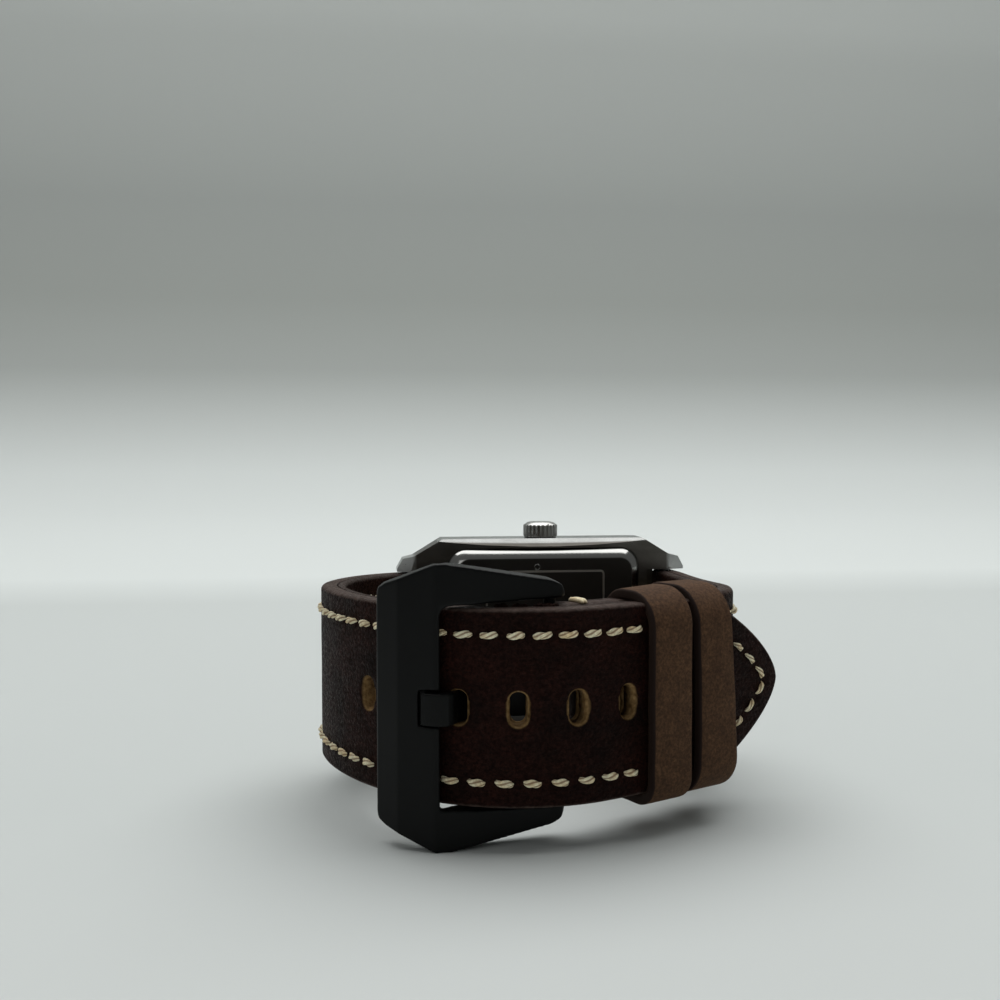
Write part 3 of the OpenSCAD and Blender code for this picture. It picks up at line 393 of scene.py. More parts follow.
def brushed(name, colour, rough, stretch=(1, 1, 1), scale=900, strength=0.12):
    """Metal with fine lines; stretch draws the noise out along them."""
    k = Mat(name, rough, 1.0)
    lines = k.noise(scale, 4, 0.7, stretch)
    cloud = k.noise(120, 4, 0.6)
    k.base(k.shade(0.5, colour, cloud, [(0.3, 0.8), (0.7, 1.0)]))
    k.rough(k.ramp(lines, [(0.25, max(0.03, rough - 0.12)), (0.75, rough + 0.12)]))
    k.normal(k.bump(lines, strength, 0.02))
    return k.m


def polished_back(name, colour, line):
    """The case back: a satin face, a polished soft edge and pale engraved lines. The face's dark colour is
    painted shade, and the edge's lighter colour a painted highlight.
    """
    k = Mat(name, 0.16, 1.0)
    cloud = k.noise(140, 4, 0.6)
    groove = k.ramp(k.attribute("line"), [(0.3, 0.0), (0.7, 1.0)])
    # Lit and shaded copies of one steel: the dark face colour is painted shade, the lighter soft edge a
    # painted highlight.
    face = k.shade(0.5, colour, cloud, [(0.3, 0.8), (0.7, 1.0)])
    edge = k.ramp(k.attribute("edge"), [(0.2, 0.0), (0.8, 1.0)])
    face = k.mix(edge, face, srgb(158, 158, 155))
    k.base(k.mix(groove, face, line))
    satin = k.ramp(k.noise(500, 4), [(0.3, 0.36), (0.7, 0.46)])
    finish = k.mix(edge, satin, (0.16, 0.16, 0.16, 1))
    k.rough(k.mix(groove, finish, (0.4, 0.4, 0.4, 1)))
    k.normal(k.bump(k.noise(700, 3), 0.03, 0.02))
    return k.m


# The polished flank starts at this height, a little higher away from the middle, and the lug ends at LUG_X;
# both get a painted highlight in the case's colour.
FLANK_Z, FLANK_BOW, LUG_X = 16.72, 0.001, 20.2


def case_finish(name):
    """Brushed steel with polished flanks, in lit and shaded copies of one steel: painted shade darkens the
    back face, and painted highlights lighten the polished flank and, most, the lug ends.
    """
    k = Mat(name, 0.3, 1.0)
    part = k.split(k.coord)
    x = k.math("MULTIPLY_ADD", part["X"], 1000.0, -CASE_X)
    z = k.math("ABSOLUTE", k.math("MULTIPLY_ADD", part["Z"], 1000.0, -CASE_Z))
    flank = k.math("MULTIPLY_ADD", k.math("MULTIPLY", x, x), FLANK_BOW, FLANK_Z)
    past_flank = k.math("MULTIPLY_ADD", k.math("SUBTRACT", z, flank), 3.0, 0.5)
    # Where the flank is polished: lower roughness, and a painted highlight in the colour.
    polished = k.ramp(past_flank, [(0.2, 0.0), (0.8, 1.0)])
    past_lug = k.math("MULTIPLY_ADD", k.math("SUBTRACT", k.math("ABSOLUTE", x), LUG_X), 0.8, 0.5)
    # Where the lug ends lie, which get a painted highlight.
    lug = k.ramp(past_lug, [(0.2, 0.0), (0.8, 1.0)])
    lines = k.noise(900, 4, 0.7, (0.05, 1, 1))
    cloud = k.noise(160, 5, 0.65, (0.6, 1, 1))
    # Lit and shaded copies of one steel: painted shade on the back face, a painted highlight on the polished
    # flank, a brighter one on the lug ends.
    dark = k.ramp(cloud, [(0.3, srgb(82, 79, 74)), (0.7, srgb(102, 99, 95))])
    flank_highlight = k.ramp(cloud, [(0.3, srgb(124, 125, 123)), (0.7, srgb(154, 155, 153))])
    end = k.ramp(cloud, [(0.3, srgb(174, 176, 174)), (0.7, srgb(208, 210, 208))])
    k.base(k.mix(polished, k.mix(lug, dark, end), flank_highlight))
    k.rough(k.mix(polished, k.ramp(lines, [(0.25, 0.24), (0.75, 0.44)]),
                  k.ramp(lines, [(0.25, 0.14), (0.75, 0.26)])))
    k.normal(k.bump(lines, 0.12, 0.02))
    return k.m


def coated(name, dark, light, rough):
    """A blasted metal under a matt coat."""
    k = Mat(name, rough, 0.0, 0.15)
    fine = k.noise(2400, 4, 0.6)
    cloud = k.noise(150, 5, 0.6)
    k.base(k.ramp(cloud, [(0.3, dark), (0.75, light)]))
    k.rough(k.ramp(k.math("ADD", k.math("MULTIPLY", fine, 0.4), k.math("MULTIPLY", cloud, 0.6)),
                   [(0.3, rough - 0.08), (0.7, rough + 0.1)]))
    k.normal(k.bump(fine, 0.18, 0.02))
    return k.m


def plain(name, colour, rough, metal=0.0, scale=1500, strength=0.1):
    """Paint, rubber or plastic with a fine grain."""
    k = Mat(name, rough, metal)
    fine = k.noise(scale, 3, 0.6)
    k.base(k.shade(0.6, colour, fine, [(0.3, 0.85), (0.7, 1.0)]))
    k.rough(k.ramp(fine, [(0.3, max(0.03, rough - 0.06)), (0.7, min(1, rough + 0.06))]))
    k.normal(k.bump(fine, strength, 0.02))
    return k.m


UPPER = leather("upper_leather", srgb(20, 8, 5), srgb(42, 18, 12), srgb(84, 70, 64))
LINING = leather("lining_leather", srgb(30, 14, 10), srgb(50, 30, 22), srgb(72, 60, 55), 1.3)
KEEPER = suede("keeper_leather", srgb(66, 45, 30), srgb(88, 63, 43), srgb(30, 19, 16))
THREAD = thread("stitch_thread", srgb(244, 216, 166), srgb(255, 247, 214))
COATING = coated("black_coating", srgb(3, 4, 4), srgb(8, 9, 9), 0.4)
CASE = case_finish("case_steel")
# The case back's dark face colour is painted shade.
BACK = polished_back("back_steel", srgb(66, 64, 61), srgb(168, 164, 157))
BEZEL = brushed("bezel_steel", srgb(172, 172, 170), 0.26, (0.06, 1, 1))
CROWN = brushed("crown_steel", srgb(174, 174, 171), 0.3, (1, 1, 0.2))


# Leather is cut to an outline in the plane of s (along the strap) and z (across it) and filled with points
# GRID apart. Its faces swell a little, and it sinks in within HOLE_RIM of a hole.
GRID, SWELL, HOLE_RIM, INNER_ROUNDING = 0.62, 0.05, 0.27, 0.15


def loop_distance(points, loop):
    """How far each point lies from a closed loop."""
    a = np.asarray(loop, float)
    b = np.roll(a, -1, axis=0)
    d = b - a
    p = np.asarray(points, float)[:, None, :]
    t = np.clip(((p - a) * d).sum(-1) / np.maximum((d * d).sum(-1), 1e-12), 0, 1)
    near = a + t[..., None] * d
    return np.sqrt(((p - near) ** 2).sum(-1)).min(1)


def inside(points, loop):
    """Which points lie inside a closed loop."""
    p = np.asarray(points, float)
    a = np.asarray(loop, float)
    b = np.roll(a, -1, axis=0)
    hit = np.zeros(len(p), bool)
    for (x0, y0), (x1, y1) in zip(a, b):
        if y0 == y1:
            continue
        hit ^= ((p[:, 1] > y0) != (p[:, 1] > y1)) & (
            p[:, 0] < (x1 - x0) * (p[:, 1] - y0) / (y1 - y0) + x0)
    return hit


def resample(points, step):
    out = []
    for a, b in zip(points, points[1:] + points[:1]):
        n = max(1, round(math.hypot(b[0] - a[0], b[1] - a[1]) / step))
        out += [(a[0] + (b[0] - a[0]) * i / n, a[1] + (b[1] - a[1]) * i / n) for i in range(n)]
    return out


def normals(loop):
    """A closed loop's unit normals, to its right."""
    a = np.asarray(loop, float)
    t = np.roll(a, -1, axis=0) - np.roll(a, 1, axis=0)
    t /= np.linalg.norm(t, axis=1, keepdims=True)
    return np.stack([t[:, 1], -t[:, 0]], 1)


def offset_loop(loop, d):
    """The loop moved by d to its left."""
    return [tuple(q) for q in np.asarray(loop, float) - d * normals(loop)]


def stadium(s, length, width, grow):
    r, half, n = width / 2 + grow, (length - width) / 2, 10
    return [(s + r * math.cos(a), c * half + r * math.sin(a))
            for c, a0 in ((1, 0), (-1, math.pi)) for a in (a0 + math.pi * i / n for i in range(n + 1))]


def flat_mesh(outline, holes, rounding):
    """Points and triangles inside the outline, with rings of points under the edge that will be rounded."""
    rim_loop = resample(outline, 0.6)
    area = 0.5 * sum(a[0] * b[1] - b[0] * a[1] for a, b in zip(outline, outline[1:] + outline[:1]))
    points, edges = [], []
    for loop in [rim_loop] + [h[0] for h in holes]:
        n0 = len(points)
        points += loop
        edges += [(n0 + i, n0 + (i + 1) % len(loop)) for i in range(len(loop))]
    for degrees in (30, 52, 72, 90):
        inset = rounding * (1 - math.cos(math.radians(degrees)))
        ring = offset_loop(rim_loop, inset if area > 0 else -inset)
        points += [q for q, d in zip(ring, loop_distance(ring, rim_loop)) if d > 0.6 * inset]
    for h in holes:
        for extra in h[1:]:
            points += extra
    (s0, z0), (s1, z1) = np.min(points, 0), np.max(points, 0)
    columns = np.arange(s0 + GRID / 2, s1, GRID)
    lines = np.arange(z0 + GRID / 2, z1, GRID)
    cells = np.array([(s + (GRID / 2 if j % 2 else 0), z) for j, z in enumerate(lines) for s in columns])
    ok = inside(cells, rim_loop) & (loop_distance(cells, rim_loop) > rounding + 0.25 * GRID)
    for h in holes:
        ok &= ~inside(cells, h[-1]) & (loop_distance(cells, h[-1]) > 0.35 * GRID)
    points += [tuple(q) for q in cells[ok]]
    co, _, tris, _, _, _ = delaunay_2d_cdt([Vector(p) for p in points], edges, [], 0, 1e-4)
    uv = np.array([tuple(c) for c in co])
    tri = np.array([list(t) for t in tris])
    centre = uv[tri].mean(1)
    keep = inside(centre, rim_loop)
    for h in holes:
        keep &= ~inside(centre, h[0])
    tri = tri[keep]
    one, two = uv[tri[:, 1]] - uv[tri[:, 0]], uv[tri[:, 2]] - uv[tri[:, 0]]
    clockwise = (one * two[:, ::-1] * [1, -1]).sum(1) < 0
    tri[clockwise] = tri[clockwise][:, ::-1]
    used = np.unique(tri)
    new = -np.ones(len(uv), int)
    new[used] = np.arange(len(used))
    return rim_loop, uv[used], new[tri]


def sheet(name, outline, holes, v_out, v_in, place, material, rounding, dimples=()):
    """A layer of leather. v_out and v_in are its faces, and the outer one has the rounded edge. Each hole
    is a list of loops, from its rim outwards, and each dimple a place, a depth and a reach."""
    sign = 1 if v_out > v_in else -1
    rim_loop, uv, tri = flat_mesh(outline, holes, rounding)
    n = len(uv)
    d = loop_distance(uv, rim_loop)
    curve = rounding - np.sqrt(np.maximum(0, rounding ** 2 - (rounding - d) ** 2))
    drop = np.where(d < rounding, curve, 0)
    burnish, burnish_low = np.zeros(n), np.zeros(n)
    for h in holes:
        near = loop_distance(uv, h[0])
        drop += np.where(near < HOLE_RIM, 0.4 * (1 - near / HOLE_RIM), 0)
        burnish = np.maximum(burnish, np.clip(1.25 - near / HOLE_RIM, 0, 1))
        burnish_low = np.maximum(burnish_low, np.clip(1.2 - near / 0.1, 0, 1))
    for ds, dz, depth, reach in dimples:
        q = (uv[:, 0] - ds) ** 2 + (uv[:, 1] - dz) ** 2
        drop += depth * np.exp(-q / reach ** 2)
    wave = np.array([noise.noise(Vector((a * 0.16, b * 0.16, 3.1 * sign))) for a, b in uv]) * SWELL
    top = [place(s, v_out - sign * (k + w), z, True) for (s, z), k, w in zip(uv, drop, wave)]
    drop_low = np.where(d < INNER_ROUNDING, INNER_ROUNDING - d, 0)
    low = [place(s, v_in + sign * k, z, False) for (s, z), k in zip(uv, drop_low)]
    faces = [tuple(int(i) for i in t[::sign]) for t in tri]
    faces += [tuple(int(i) + n for i in t[::-sign]) for t in tri]
    sides = dict.fromkeys((int(t[i]), int(t[(i + 1) % 3])) for t in tri for i in range(3))
    for a, b in sides:
        if (b, a) not in sides:
            faces.append((b, a, a + n, b + n) if sign > 0 else (a, b, b + n, a + n))
    obj = new_object(name, top + low, faces, material)
    edge = np.where(d < rounding, 1 - 0.5 * d / rounding, np.clip(0.5 - (d - rounding), 0, 1))
    point_value(obj, "edge", list(edge) + list(np.where(d < 0.02, 1.0, 0.0)))
    point_value(obj, "burnish", list(burnish) + list(burnish_low))
    return obj


def stitch_mesh(centre, along_dir, normal, length=STITCH_L, radius=0.39, lift=0.0):
    """A stitch of three-strand thread: it arches out of the leather, twists, and its ends dive in."""
    rings, sides, twist = 21, 24, 0.52
    side = normal.cross(along_dir).normalized()
    k = random.uniform(0.94, 1.06)
    swing = random.uniform(-0.05, 0.05)
    phase = random.uniform(0, 2 * math.pi)
    along_dir = (along_dir + side * swing).normalized()
    side = normal.cross(along_dir).normalized()
    verts, valley_shade = [], []
    for i in range(rings):
        t = i / (rings - 1)
        u = 2 * t - 1
        r = radius * (1 - abs(u) ** 3.4) ** 0.62 * (1 + 0.1 * math.sin(3 * u + phase)) + 0.03
        height = 0.2 - 0.62 * abs(u) ** 3 + lift
        c = centre + along_dir * (length * k / 2000 * u) + normal * (height / 1000)
        for j in range(sides):
            a = 2 * math.pi * j / sides
            w = math.cos(3 * (a + 2 * math.pi * twist * t) + phase)
            lobe = 0.9 + 0.19 * (abs(w) ** 0.7 * (1 if w > 0 else -1))
            out = side * math.cos(a) * 1.02 + normal * math.sin(a) * 0.9
            verts.append(c + out * (r * lobe / 1000))
            # How deep in a valley between strands the point lies, for the thread's painted shade.
            valley_shade.append(0.5 - 0.5 * w)
    return verts, rod(rings, sides), valley_shade


def on_strap(name, parts, material=THREAD):
    """One piece of thread or fibre from parts of points, faces and the painted shade of their valleys."""
    obj = new_object(name, *join([p[:2] for p in parts]), material)
    point_value(obj, "valley_shade", [w for p in parts for w in p[2]])
    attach(obj, "case_and_strap")


def stitches(name, items):
    on_strap(name, [stitch_mesh(**item) for item in items])


def stitch_on(at, s, z, v, angle, **more):
    """A stitch at (s, z) on the face at v; angle turns it from the strap's run towards +z."""
    p = at(s)
    out = 1 if v > 0 else -1
    normal = Vector((math.sin(p[2]), -math.cos(p[2]), 0)) * out
    run = Vector((math.cos(p[2]), math.sin(p[2]), 0))
    direction = run * math.cos(angle) + Vector((0, 0, 1)) * math.sin(angle)
    return dict(centre=strap_point(at, s, v, z), along_dir=direction, normal=normal, **more)


def row_stitch(at, s, z, angle, outer, inner, dimples):
    """A stitch of a row, the one half a pitch on at the lining, and the dents where it dives in."""
    outer.append(stitch_on(at, s, z, V_TOP, angle))
    inner.append(stitch_on(at, s + STITCH_PITCH / 2, z, -V_TOP, 0.0, lift=-0.05))
    dimples += [(s - 1.3, z, 0.22, 0.5), (s + 1.3, z, 0.22, 0.5)]


def tip_outline():
    """The tapered tip, from its upper shoulder round the point to the lower one."""
    n = 26
    upper = []
    for i in range(n, -1, -1):
        s = TIP_END - TIP_L * (i / n) ** 1.7
        upper.append((s, min(HALF_W, HALF_W * (max(0.0, TIP_END - s) / TIP_L) ** 0.6)))
    return upper + [(s, -z) for s, z in reversed(upper[:-1])]


def tip_stitch_line():
    """Points STITCH_IN inside the tip's outline, from the upper row to the lower one."""
    loop = tip_outline()
    a = np.asarray(loop)
    t = np.gradient(a, axis=0)
    t /= np.linalg.norm(t, axis=1, keepdims=True)
    q = a + STITCH_IN * np.stack([t[:, 1], -t[:, 0]], 1)
    keep = loop_distance(q, loop + [(50, -HALF_W), (50, HALF_W)]) > STITCH_IN * 0.96
    return [tuple(p) for p in q[keep]]


def long_outline(start):
    tip = tip_outline()[::-1][1:-1]
    shoulder = TIP_END - TIP_L
    return [(start, -HALF_W), (shoulder, -HALF_W)] + tip + [(shoulder, HALF_W), (start, HALF_W)]


def short_outline(start, end):
    """The opening for the tongue lies at the start."""
    past = PIN_S + SLOT_L
    return [(start, -HALF_W), (end, -HALF_W), (end, HALF_W), (start, HALF_W),
            (start, SLOT), (past, SLOT), (past, -SLOT), (start, -SLOT)]


# In a roll the upper layer is ROLL_T thick; it gets there over the last THIN_L before the bar. The lining
# ends LINING_IN before the bar. The roll at the short strap's spring bar stands further out.
ROLL_T, THIN_L, LINING_IN = 0.75, 3, 0.5
BAR_ROLL_OUT, BAR_ROLL_L = 0.32, 1.5


def thinned(v, outer, near):
    if outer or near >= THIN_L:
        return v
    return V_TOP - ROLL_T + (v - V_TOP + ROLL_T) * near / THIN_L


def long_place(s, v, z, outer):
    if s >= 0:
        return strap_point(long_at, s, thinned(v, outer, s), z)
    return rolled_point(long_at, s, V_TOP - (V_TOP - v if outer else ROLL_T), z, 0.0)


def short_place(s, v, z, outer):
    if PIN_S <= s <= SHORT_END:
        return strap_point(short_at, s, thinned(v, outer, min(s - PIN_S, SHORT_END - s)), z)
    v = V_TOP - (V_TOP - v if outer else ROLL_T)
    if s < PIN_S:
        return rolled_point(short_at, s, v, z, PIN_S)
    v += BAR_ROLL_OUT * min(1.0, (s - SHORT_END) / BAR_ROLL_L)
    return rolled_point(short_at, s, v, z, SHORT_END)


# The rows of stitches, as the photograph shows them: where one stitch of the long strap's rows lies, their
# pitch, height and slant. They stay ROW_FROM away from a spring bar and skip the keepers.
ROWS = ((53.95, STITCH_PITCH, ROW_Z, 0.1), (52.35, 3.16, -ROW_Z, -0.08))
ROW_FROM, ROW_PAST_PIN, ROW_TO_TIP, TIP_PITCH = 4.5, 5.5, 0.8, 2.9
BARE_FROM, BARE_TO = KEEPER_1 - 3, KEEPER_2 - 1

# The long strap
items, inner_items, dimples = [], [], []
tip_line = tip_stitch_line()
tip_from = tip_line[0][0] - ROW_TO_TIP
for row_s, pitch, z, angle in ROWS:
    for k in range(-16, 12):
        s = row_s + pitch * k
        if ROW_FROM < s < tip_from and not BARE_FROM < s < BARE_TO:
            row_stitch(long_at, s, z, angle, items, inner_items, dimples)
lengths = [0.0]
for a, b in zip(tip_line, tip_line[1:]):
    lengths.append(lengths[-1] + math.hypot(b[0] - a[0], b[1] - a[1]))
tip_count = round(lengths[-1] / TIP_PITCH)
for i in range(tip_count):
    m = (i + 0.5) * lengths[-1] / tip_count
    k = max(j for j, length in enumerate(lengths) if length <= m)
    a, b = tip_line[k], tip_line[k + 1]
    t = (m - lengths[k]) / (lengths[k + 1] - lengths[k])
    s, z = a[0] + (b[0] - a[0]) * t, a[1] + (b[1] - a[1]) * t
    angle = math.atan2(b[1] - a[1], b[0] - a[0])
    items.append(stitch_on(long_at, s, z, V_TOP, angle, radius=0.3, length=2.2))
    inner_items.append(stitch_on(long_at, s, z, -V_TOP, angle, radius=0.34, lift=-0.05))
    for e in (-1.25, 1.25):
        dimples.append((s + e * math.cos(angle), z + e * math.sin(angle), 0.2, 0.5))

hole_at = [TIP_END - TIP_TO_HOLE - HOLE_PITCH * i for i in range(HOLES)]
holes = [[stadium(s, HOLE_L, HOLE_W, g) for g in (-0.26, -0.13, 0.0)] for s in hole_at]
upper = sheet("long_strap_leather", long_outline(-ROLL), holes, V_TOP, V_MID, long_place, UPPER,
              0.5, dimples)
lining = sheet("long_strap_back_leather", long_outline(LINING_IN), [h[:2] for h in holes], -V_TOP, V_MID,
               lambda s, v, z, _: strap_point(long_at, s, v, z), LINING,
               0.6, [(a, b, 0.15, r) for a, b, _, r in dimples])
stand_for(upper, "long_strap_upper", "case_and_strap")
stand_for(lining, "long_strap_lining", "case_and_strap")
stitches("long_strap_stitches", items)
stitches("long_strap_inner_stitches", inner_items)


# The short strap, rolled round the buckle pin and round its spring bar
items, inner_items, dimples = [], [], []
for sign in (1, -1):
    for k in range(17):
        s = PIN_S + ROW_PAST_PIN + STITCH_PITCH * k
        if s < SHORT_END - ROW_FROM:
            row_stitch(short_at, s, sign * ROW_Z, 0.08 * sign, items, inner_items, dimples)
upper = sheet("short_strap_leather", short_outline(PIN_S - ROLL, SHORT_END + ROLL), [],
              V_TOP, V_MID, short_place, UPPER, 0.8, dimples)
lining = sheet("short_strap_back_leather", short_outline(PIN_S + LINING_IN, SHORT_END - LINING_IN), [],
               -V_TOP, V_MID, lambda s, v, z, _: strap_point(short_at, s, v, z), LINING, 0.6)
stand_for(upper, "short_strap_upper", "case_and_strap")
stand_for(lining, "short_strap_lining", "case_and_strap")
stitches("short_strap_stitches", items)
stitches("short_strap_inner_stitches", inner_items)


def tube(points, radius):
    """A tube along the points, thin at its ends."""
    verts, sides = [], 10
    for i, q in enumerate(points):
        run = (points[min(i + 1, len(points) - 1)] - points[max(i - 1, 0)]).normalized()
        a = run.cross(Vector((0, 0, 1)))
        a = a.normalized() if a.length > 1e-6 else Vector((1, 0, 0))
        b = run.cross(a).normalized()
        t = i / (len(points) - 1)
        r = radius * min(1.0, 0.25 + 6 * min(t, 1 - t)) / 1000
        verts += [q + a * (r * math.cos(c)) + b * (r * math.sin(c))
                  for c in (2 * math.pi * j / sides for j in range(sides))]
    return verts, rod(len(points), sides), [0.0] * len(verts)


# Two threads over the short strap's top edge
EDGE_THREAD_S, EDGE_THREAD_R = 69.75, 0.32
over_edge = []
for shift in (-0.26, 0.26):
    points = []
    for t in (i / 12 for i in range(13)):
        z = HALF_W + 0.04 + 0.24 * math.sin(math.pi * t) ** 0.5
        points.append(strap_point(short_at, EDGE_THREAD_S + shift + 0.35 * t, -1.5 + 3.1 * t, z))
    over_edge.append(tube(points, EDGE_THREAD_R))
on_strap("edge_thread", over_edge)

# Torn fibres on the long strap's top edge, in tufts of three
fibres = []
for tuft_s in (57.6, 58.4, 59.8, 60.4, 61.0, 62.5, 63.1, 63.6, 64.4, 65.0):
    for _ in range(3):
        mid_s, v0 = tuft_s + random.uniform(-0.3, 0.3), random.uniform(-1.65, -1.0)
        reach, rise, swing = (random.uniform(*r) for r in ((0.5, 1.1), (0.12, 0.34), (-0.35, 0.35)))
        points = []
        for t in (i / 8 for i in range(9)):
            z = HALF_W - 0.05 + rise * math.sin(math.pi * t)
            points.append(strap_point(long_at, mid_s + reach * (t - 0.5), v0 + swing * math.sin(2.4 * t), z))
        fibres.append(tube(points, random.uniform(0.1, 0.2)))
on_strap("edge_fibres", fibres, LINING)


def ramp_up(x, x0, x1):
    """From 0 at x0 to 1 at x1."""
    return min(1.0, max(0.0, (x - x0) / (x1 - x0)))


def keeper(name, s_mid, wide, radii, inner_play, body, node, seed, lean=0.0, taper=0.0, sag=0.0):
    """A leather band round both straps that swells over them. It leans by lean per mm of height, its right
    side is narrower by taper at the top, and its top left corner sags."""
    out, inn = V_TOP + KEEPER_PLAY, -V_TOP - LAY - inner_play
    half = HALF_W + KEEPER_PLAY
    mid_v, half_v = (out + inn) / 2, (out - inn) / 2
    loop = resample([(mid_v + v, z) for v, z in corners(half_v, half, radii, 8)], 0.55)
    half_w, half_t = wide / 2, KEEPER_T / 2
    section = [(w, half_t + h) for w, h in corners(half_w, half_t, (KEEPER_ROUND,) * 4, 4)]
    section = resample(section, 0.7)
    verts, edge = [], []
    for (v, z), (out_v, out_z) in zip(loop, normals(loop)):
        bulge = 0.3 * (1 - (z / (half + 1)) ** 2) * (1.0 if v > mid_v else 0.4) if abs(out_v) > 0.7 else 0
        for w, h in section:
            crown = bulge * (1 - (w / half_w) ** 2 * 0.6)
            wob = max(0, noise.noise(Vector((v * 0.2 + seed, z * 0.16, w * 0.08 + seed))) * 0.3)
            stretch = 1 + 0.02 * noise.noise(Vector((z * 0.2, v * 0.3, seed)))
            low = sag * (0.5 - w / (2 * half_w)) * ramp_up(z, half - 3, half)
            narrow = taper * ramp_up(z, -10, 10) if w > 0 else 0.0
            s = s_mid + w * stretch * (1 - narrow) + lean * z
            s += 0.09 * noise.noise(Vector((z * 0.15, v * 0.2, seed + 5)))
            verts.append(strap_point(long_at, s, v + out_v * (h + crown + wob * 0.5),
                                     z + out_z * (h + wob * 0.3) - low))
            # How near the point lies to the band's sides, where the keeper leather is darker: partly painted
            # shade.
            edge.append(ramp_up(abs(w), half_w - 0.45, half_w - 0.1))
    obj = new_object(name, verts, skin(len(loop), len(section), closed=True, turned=True), KEEPER)
    point_value(obj, "edge", edge)
    stand_for(obj, node, body)


keeper("fixed_keeper_leather", KEEPER_1 + 0.25, 6.4, (3.3, 2.6, 1.5, 2.0), 0.0,
       "case_and_strap", "fixed_keeper", 1.0, sag=0.3)
keeper("sliding_keeper_leather", KEEPER_2 - 0.2, 6.9, (3.6, 1.6, 1.6, 3.3), KEEPER_PLAY,
       "sliding_keeper", "sliding_keeper", 9.0, lean=-0.017, taper=0.3)


# Metal: a node that stays gets its finish and broken edges
def weld(o):
    o.modifiers.new("weld", "WELD").merge_threshold = 0.000004


def break_edges(o, width, segments=2):
    weld(o)
    flat = o.modifiers.new("flat", "DECIMATE")
    flat.decimate_type = "DISSOLVE"
    flat.angle_limit = math.radians(1.5)
    if width:
        bevel = o.modifiers.new("edges", "BEVEL")
        bevel.width = width / 1000
        bevel.segments = segments
        bevel.limit_method = "ANGLE"
        bevel.angle_limit = math.radians(24)
    o.modifiers.new("normals", "WEIGHTED_NORMAL").keep_sharp = True


def only_material(mesh, material):
    mesh.materials.clear()
    mesh.materials.append(material)


def refine(node, material, width, segments=2):
    o = frame["nodes"][node]
    only_material(o.data, material)
    break_edges(o, width, segments)


# The buckle and its tongue are replaced by softened copies
PIN_X, PIN_Y, _ = short_at(PIN_S)
# The CAD frame: the plane of its window's end, the notch's floor, the top corner's facet and half the
# window's height, each as the solid has it and as the photograph shows it
WINDOW_U, SHOWN_WINDOW_U = 13.6, 13.95
NOTCH_U, SHOWN_NOTCH_U, NOTCH_HALF = 17.0, 16.45, 2.3
FACET_U, SHOWN_FACET_U, FACET_Z = 12.4, 13.4, 17
WINDOW_HALF, ARM_SLANT, ARM_GROWS = 12.3, 0.55, 0.4


def local(co):
    """Millimetres from the pin: u towards the buckle's free edge, v out of the strap, z up."""
    return PIN_X + CASE_X - 1000 * co[0], PIN_Y + CASE_Y - 1000 * co[1], 1000 * co[2] - CASE_Z


def from_local(u, v, z):
    return world(PIN_X - u, PIN_Y - v, z)


def shape_frame(mesh):
    """The arms' slant and soft corners in the window, and the planes where the photograph has them."""
    for vert in mesh.vertices:
        u, v, z = local(vert.co)
        if abs(u - WINDOW_U) < 0.03:
            u = SHOWN_WINDOW_U
        elif abs(u - NOTCH_U) < 0.03 and abs(z) < NOTCH_HALF:
            u, v = SHOWN_NOTCH_U, v + (NOTCH_U - SHOWN_NOTCH_U) * 0.48
        elif abs(u - FACET_U) < 0.03 and z > FACET_Z:
            u = SHOWN_FACET_U
        if abs(abs(z) - WINDOW_HALF) < 0.05 and u < 13:
            z += math.copysign(ARM_SLANT * (1 - max(u, 0.0) / 14), z)
        elif abs(z) > WINDOW_HALF + 0.1 and u < 3:
            z += math.copysign(ARM_GROWS, z)
        vert.co = from_local(u, v, z)
    joined = bmesh.new()
    joined.from_mesh(mesh)
    edge_u = SHOWN_WINDOW_U + 0.04
    for turn, r in ((1, 1.4), (-1, 0.5)):
        edge_z = turn * (WINDOW_HALF + 0.04)
        section = [(edge_u, edge_z)]
        for degrees in range(0, 91, 15):
            a = math.radians(degrees)
            section.append((edge_u - r + r * math.sin(a), edge_z - turn * (r - r * math.cos(a))))
        n = len(section)
        new = bpy.data.meshes.new("corner")
        new.from_pydata([tuple(from_local(u, v, z)) for v in (2.6, 4.0) for u, z in section], [],
                        [tuple(range(n))[::turn], tuple(range(n, 2 * n))[::-turn]]
                        + [(i, n + i, n + (i + 1) % n, (i + 1) % n)[::turn] for i in range(n)])
        joined.from_mesh(new)
    joined.to_mesh(mesh)
    joined.free()


HEAD_U, SHOWN_HEAD_U = 11.75, 12.33


def shape_tongue(mesh):
    """A shorter head, which starts nearer to the notch; the prong behind it stays."""
    for vert in mesh.vertices:
        u, v, z = local(vert.co)
        w = ramp_up(v, 1.0, 3.0)
        w = w * w * (3 - 2 * w)
        vert.co = from_local(u + w * (SHOWN_HEAD_U + (u - HEAD_U) * 0.775 - u), v, z)


def soft_copy(node, name, voxel, smooth, shape, body):
    """A copy of a node's mesh, shaped, remeshed and smoothed, so that every edge is soft."""
    mesh = frame["nodes"][node].data.copy()
    shape(mesh)
    o = link_object(name, mesh)
    weld(o)
    remesh = o.modifiers.new("remesh", "REMESH")
    remesh.mode = "VOXEL"
    remesh.voxel_size = voxel / 1000
    soften = o.modifiers.new("soften", "SMOOTH")
    soften.factor = 0.5
    soften.iterations = smooth
    done = o.evaluated_get(bpy.context.evaluated_depsgraph_get())
    final = bpy.data.meshes.new_from_object(done)
    o.modifiers.clear()
    o.data = final
    only_material(final, COATING)
    final.polygons.foreach_set("use_smooth", [True] * len(final.polygons))
    stand_for(o, node, body)


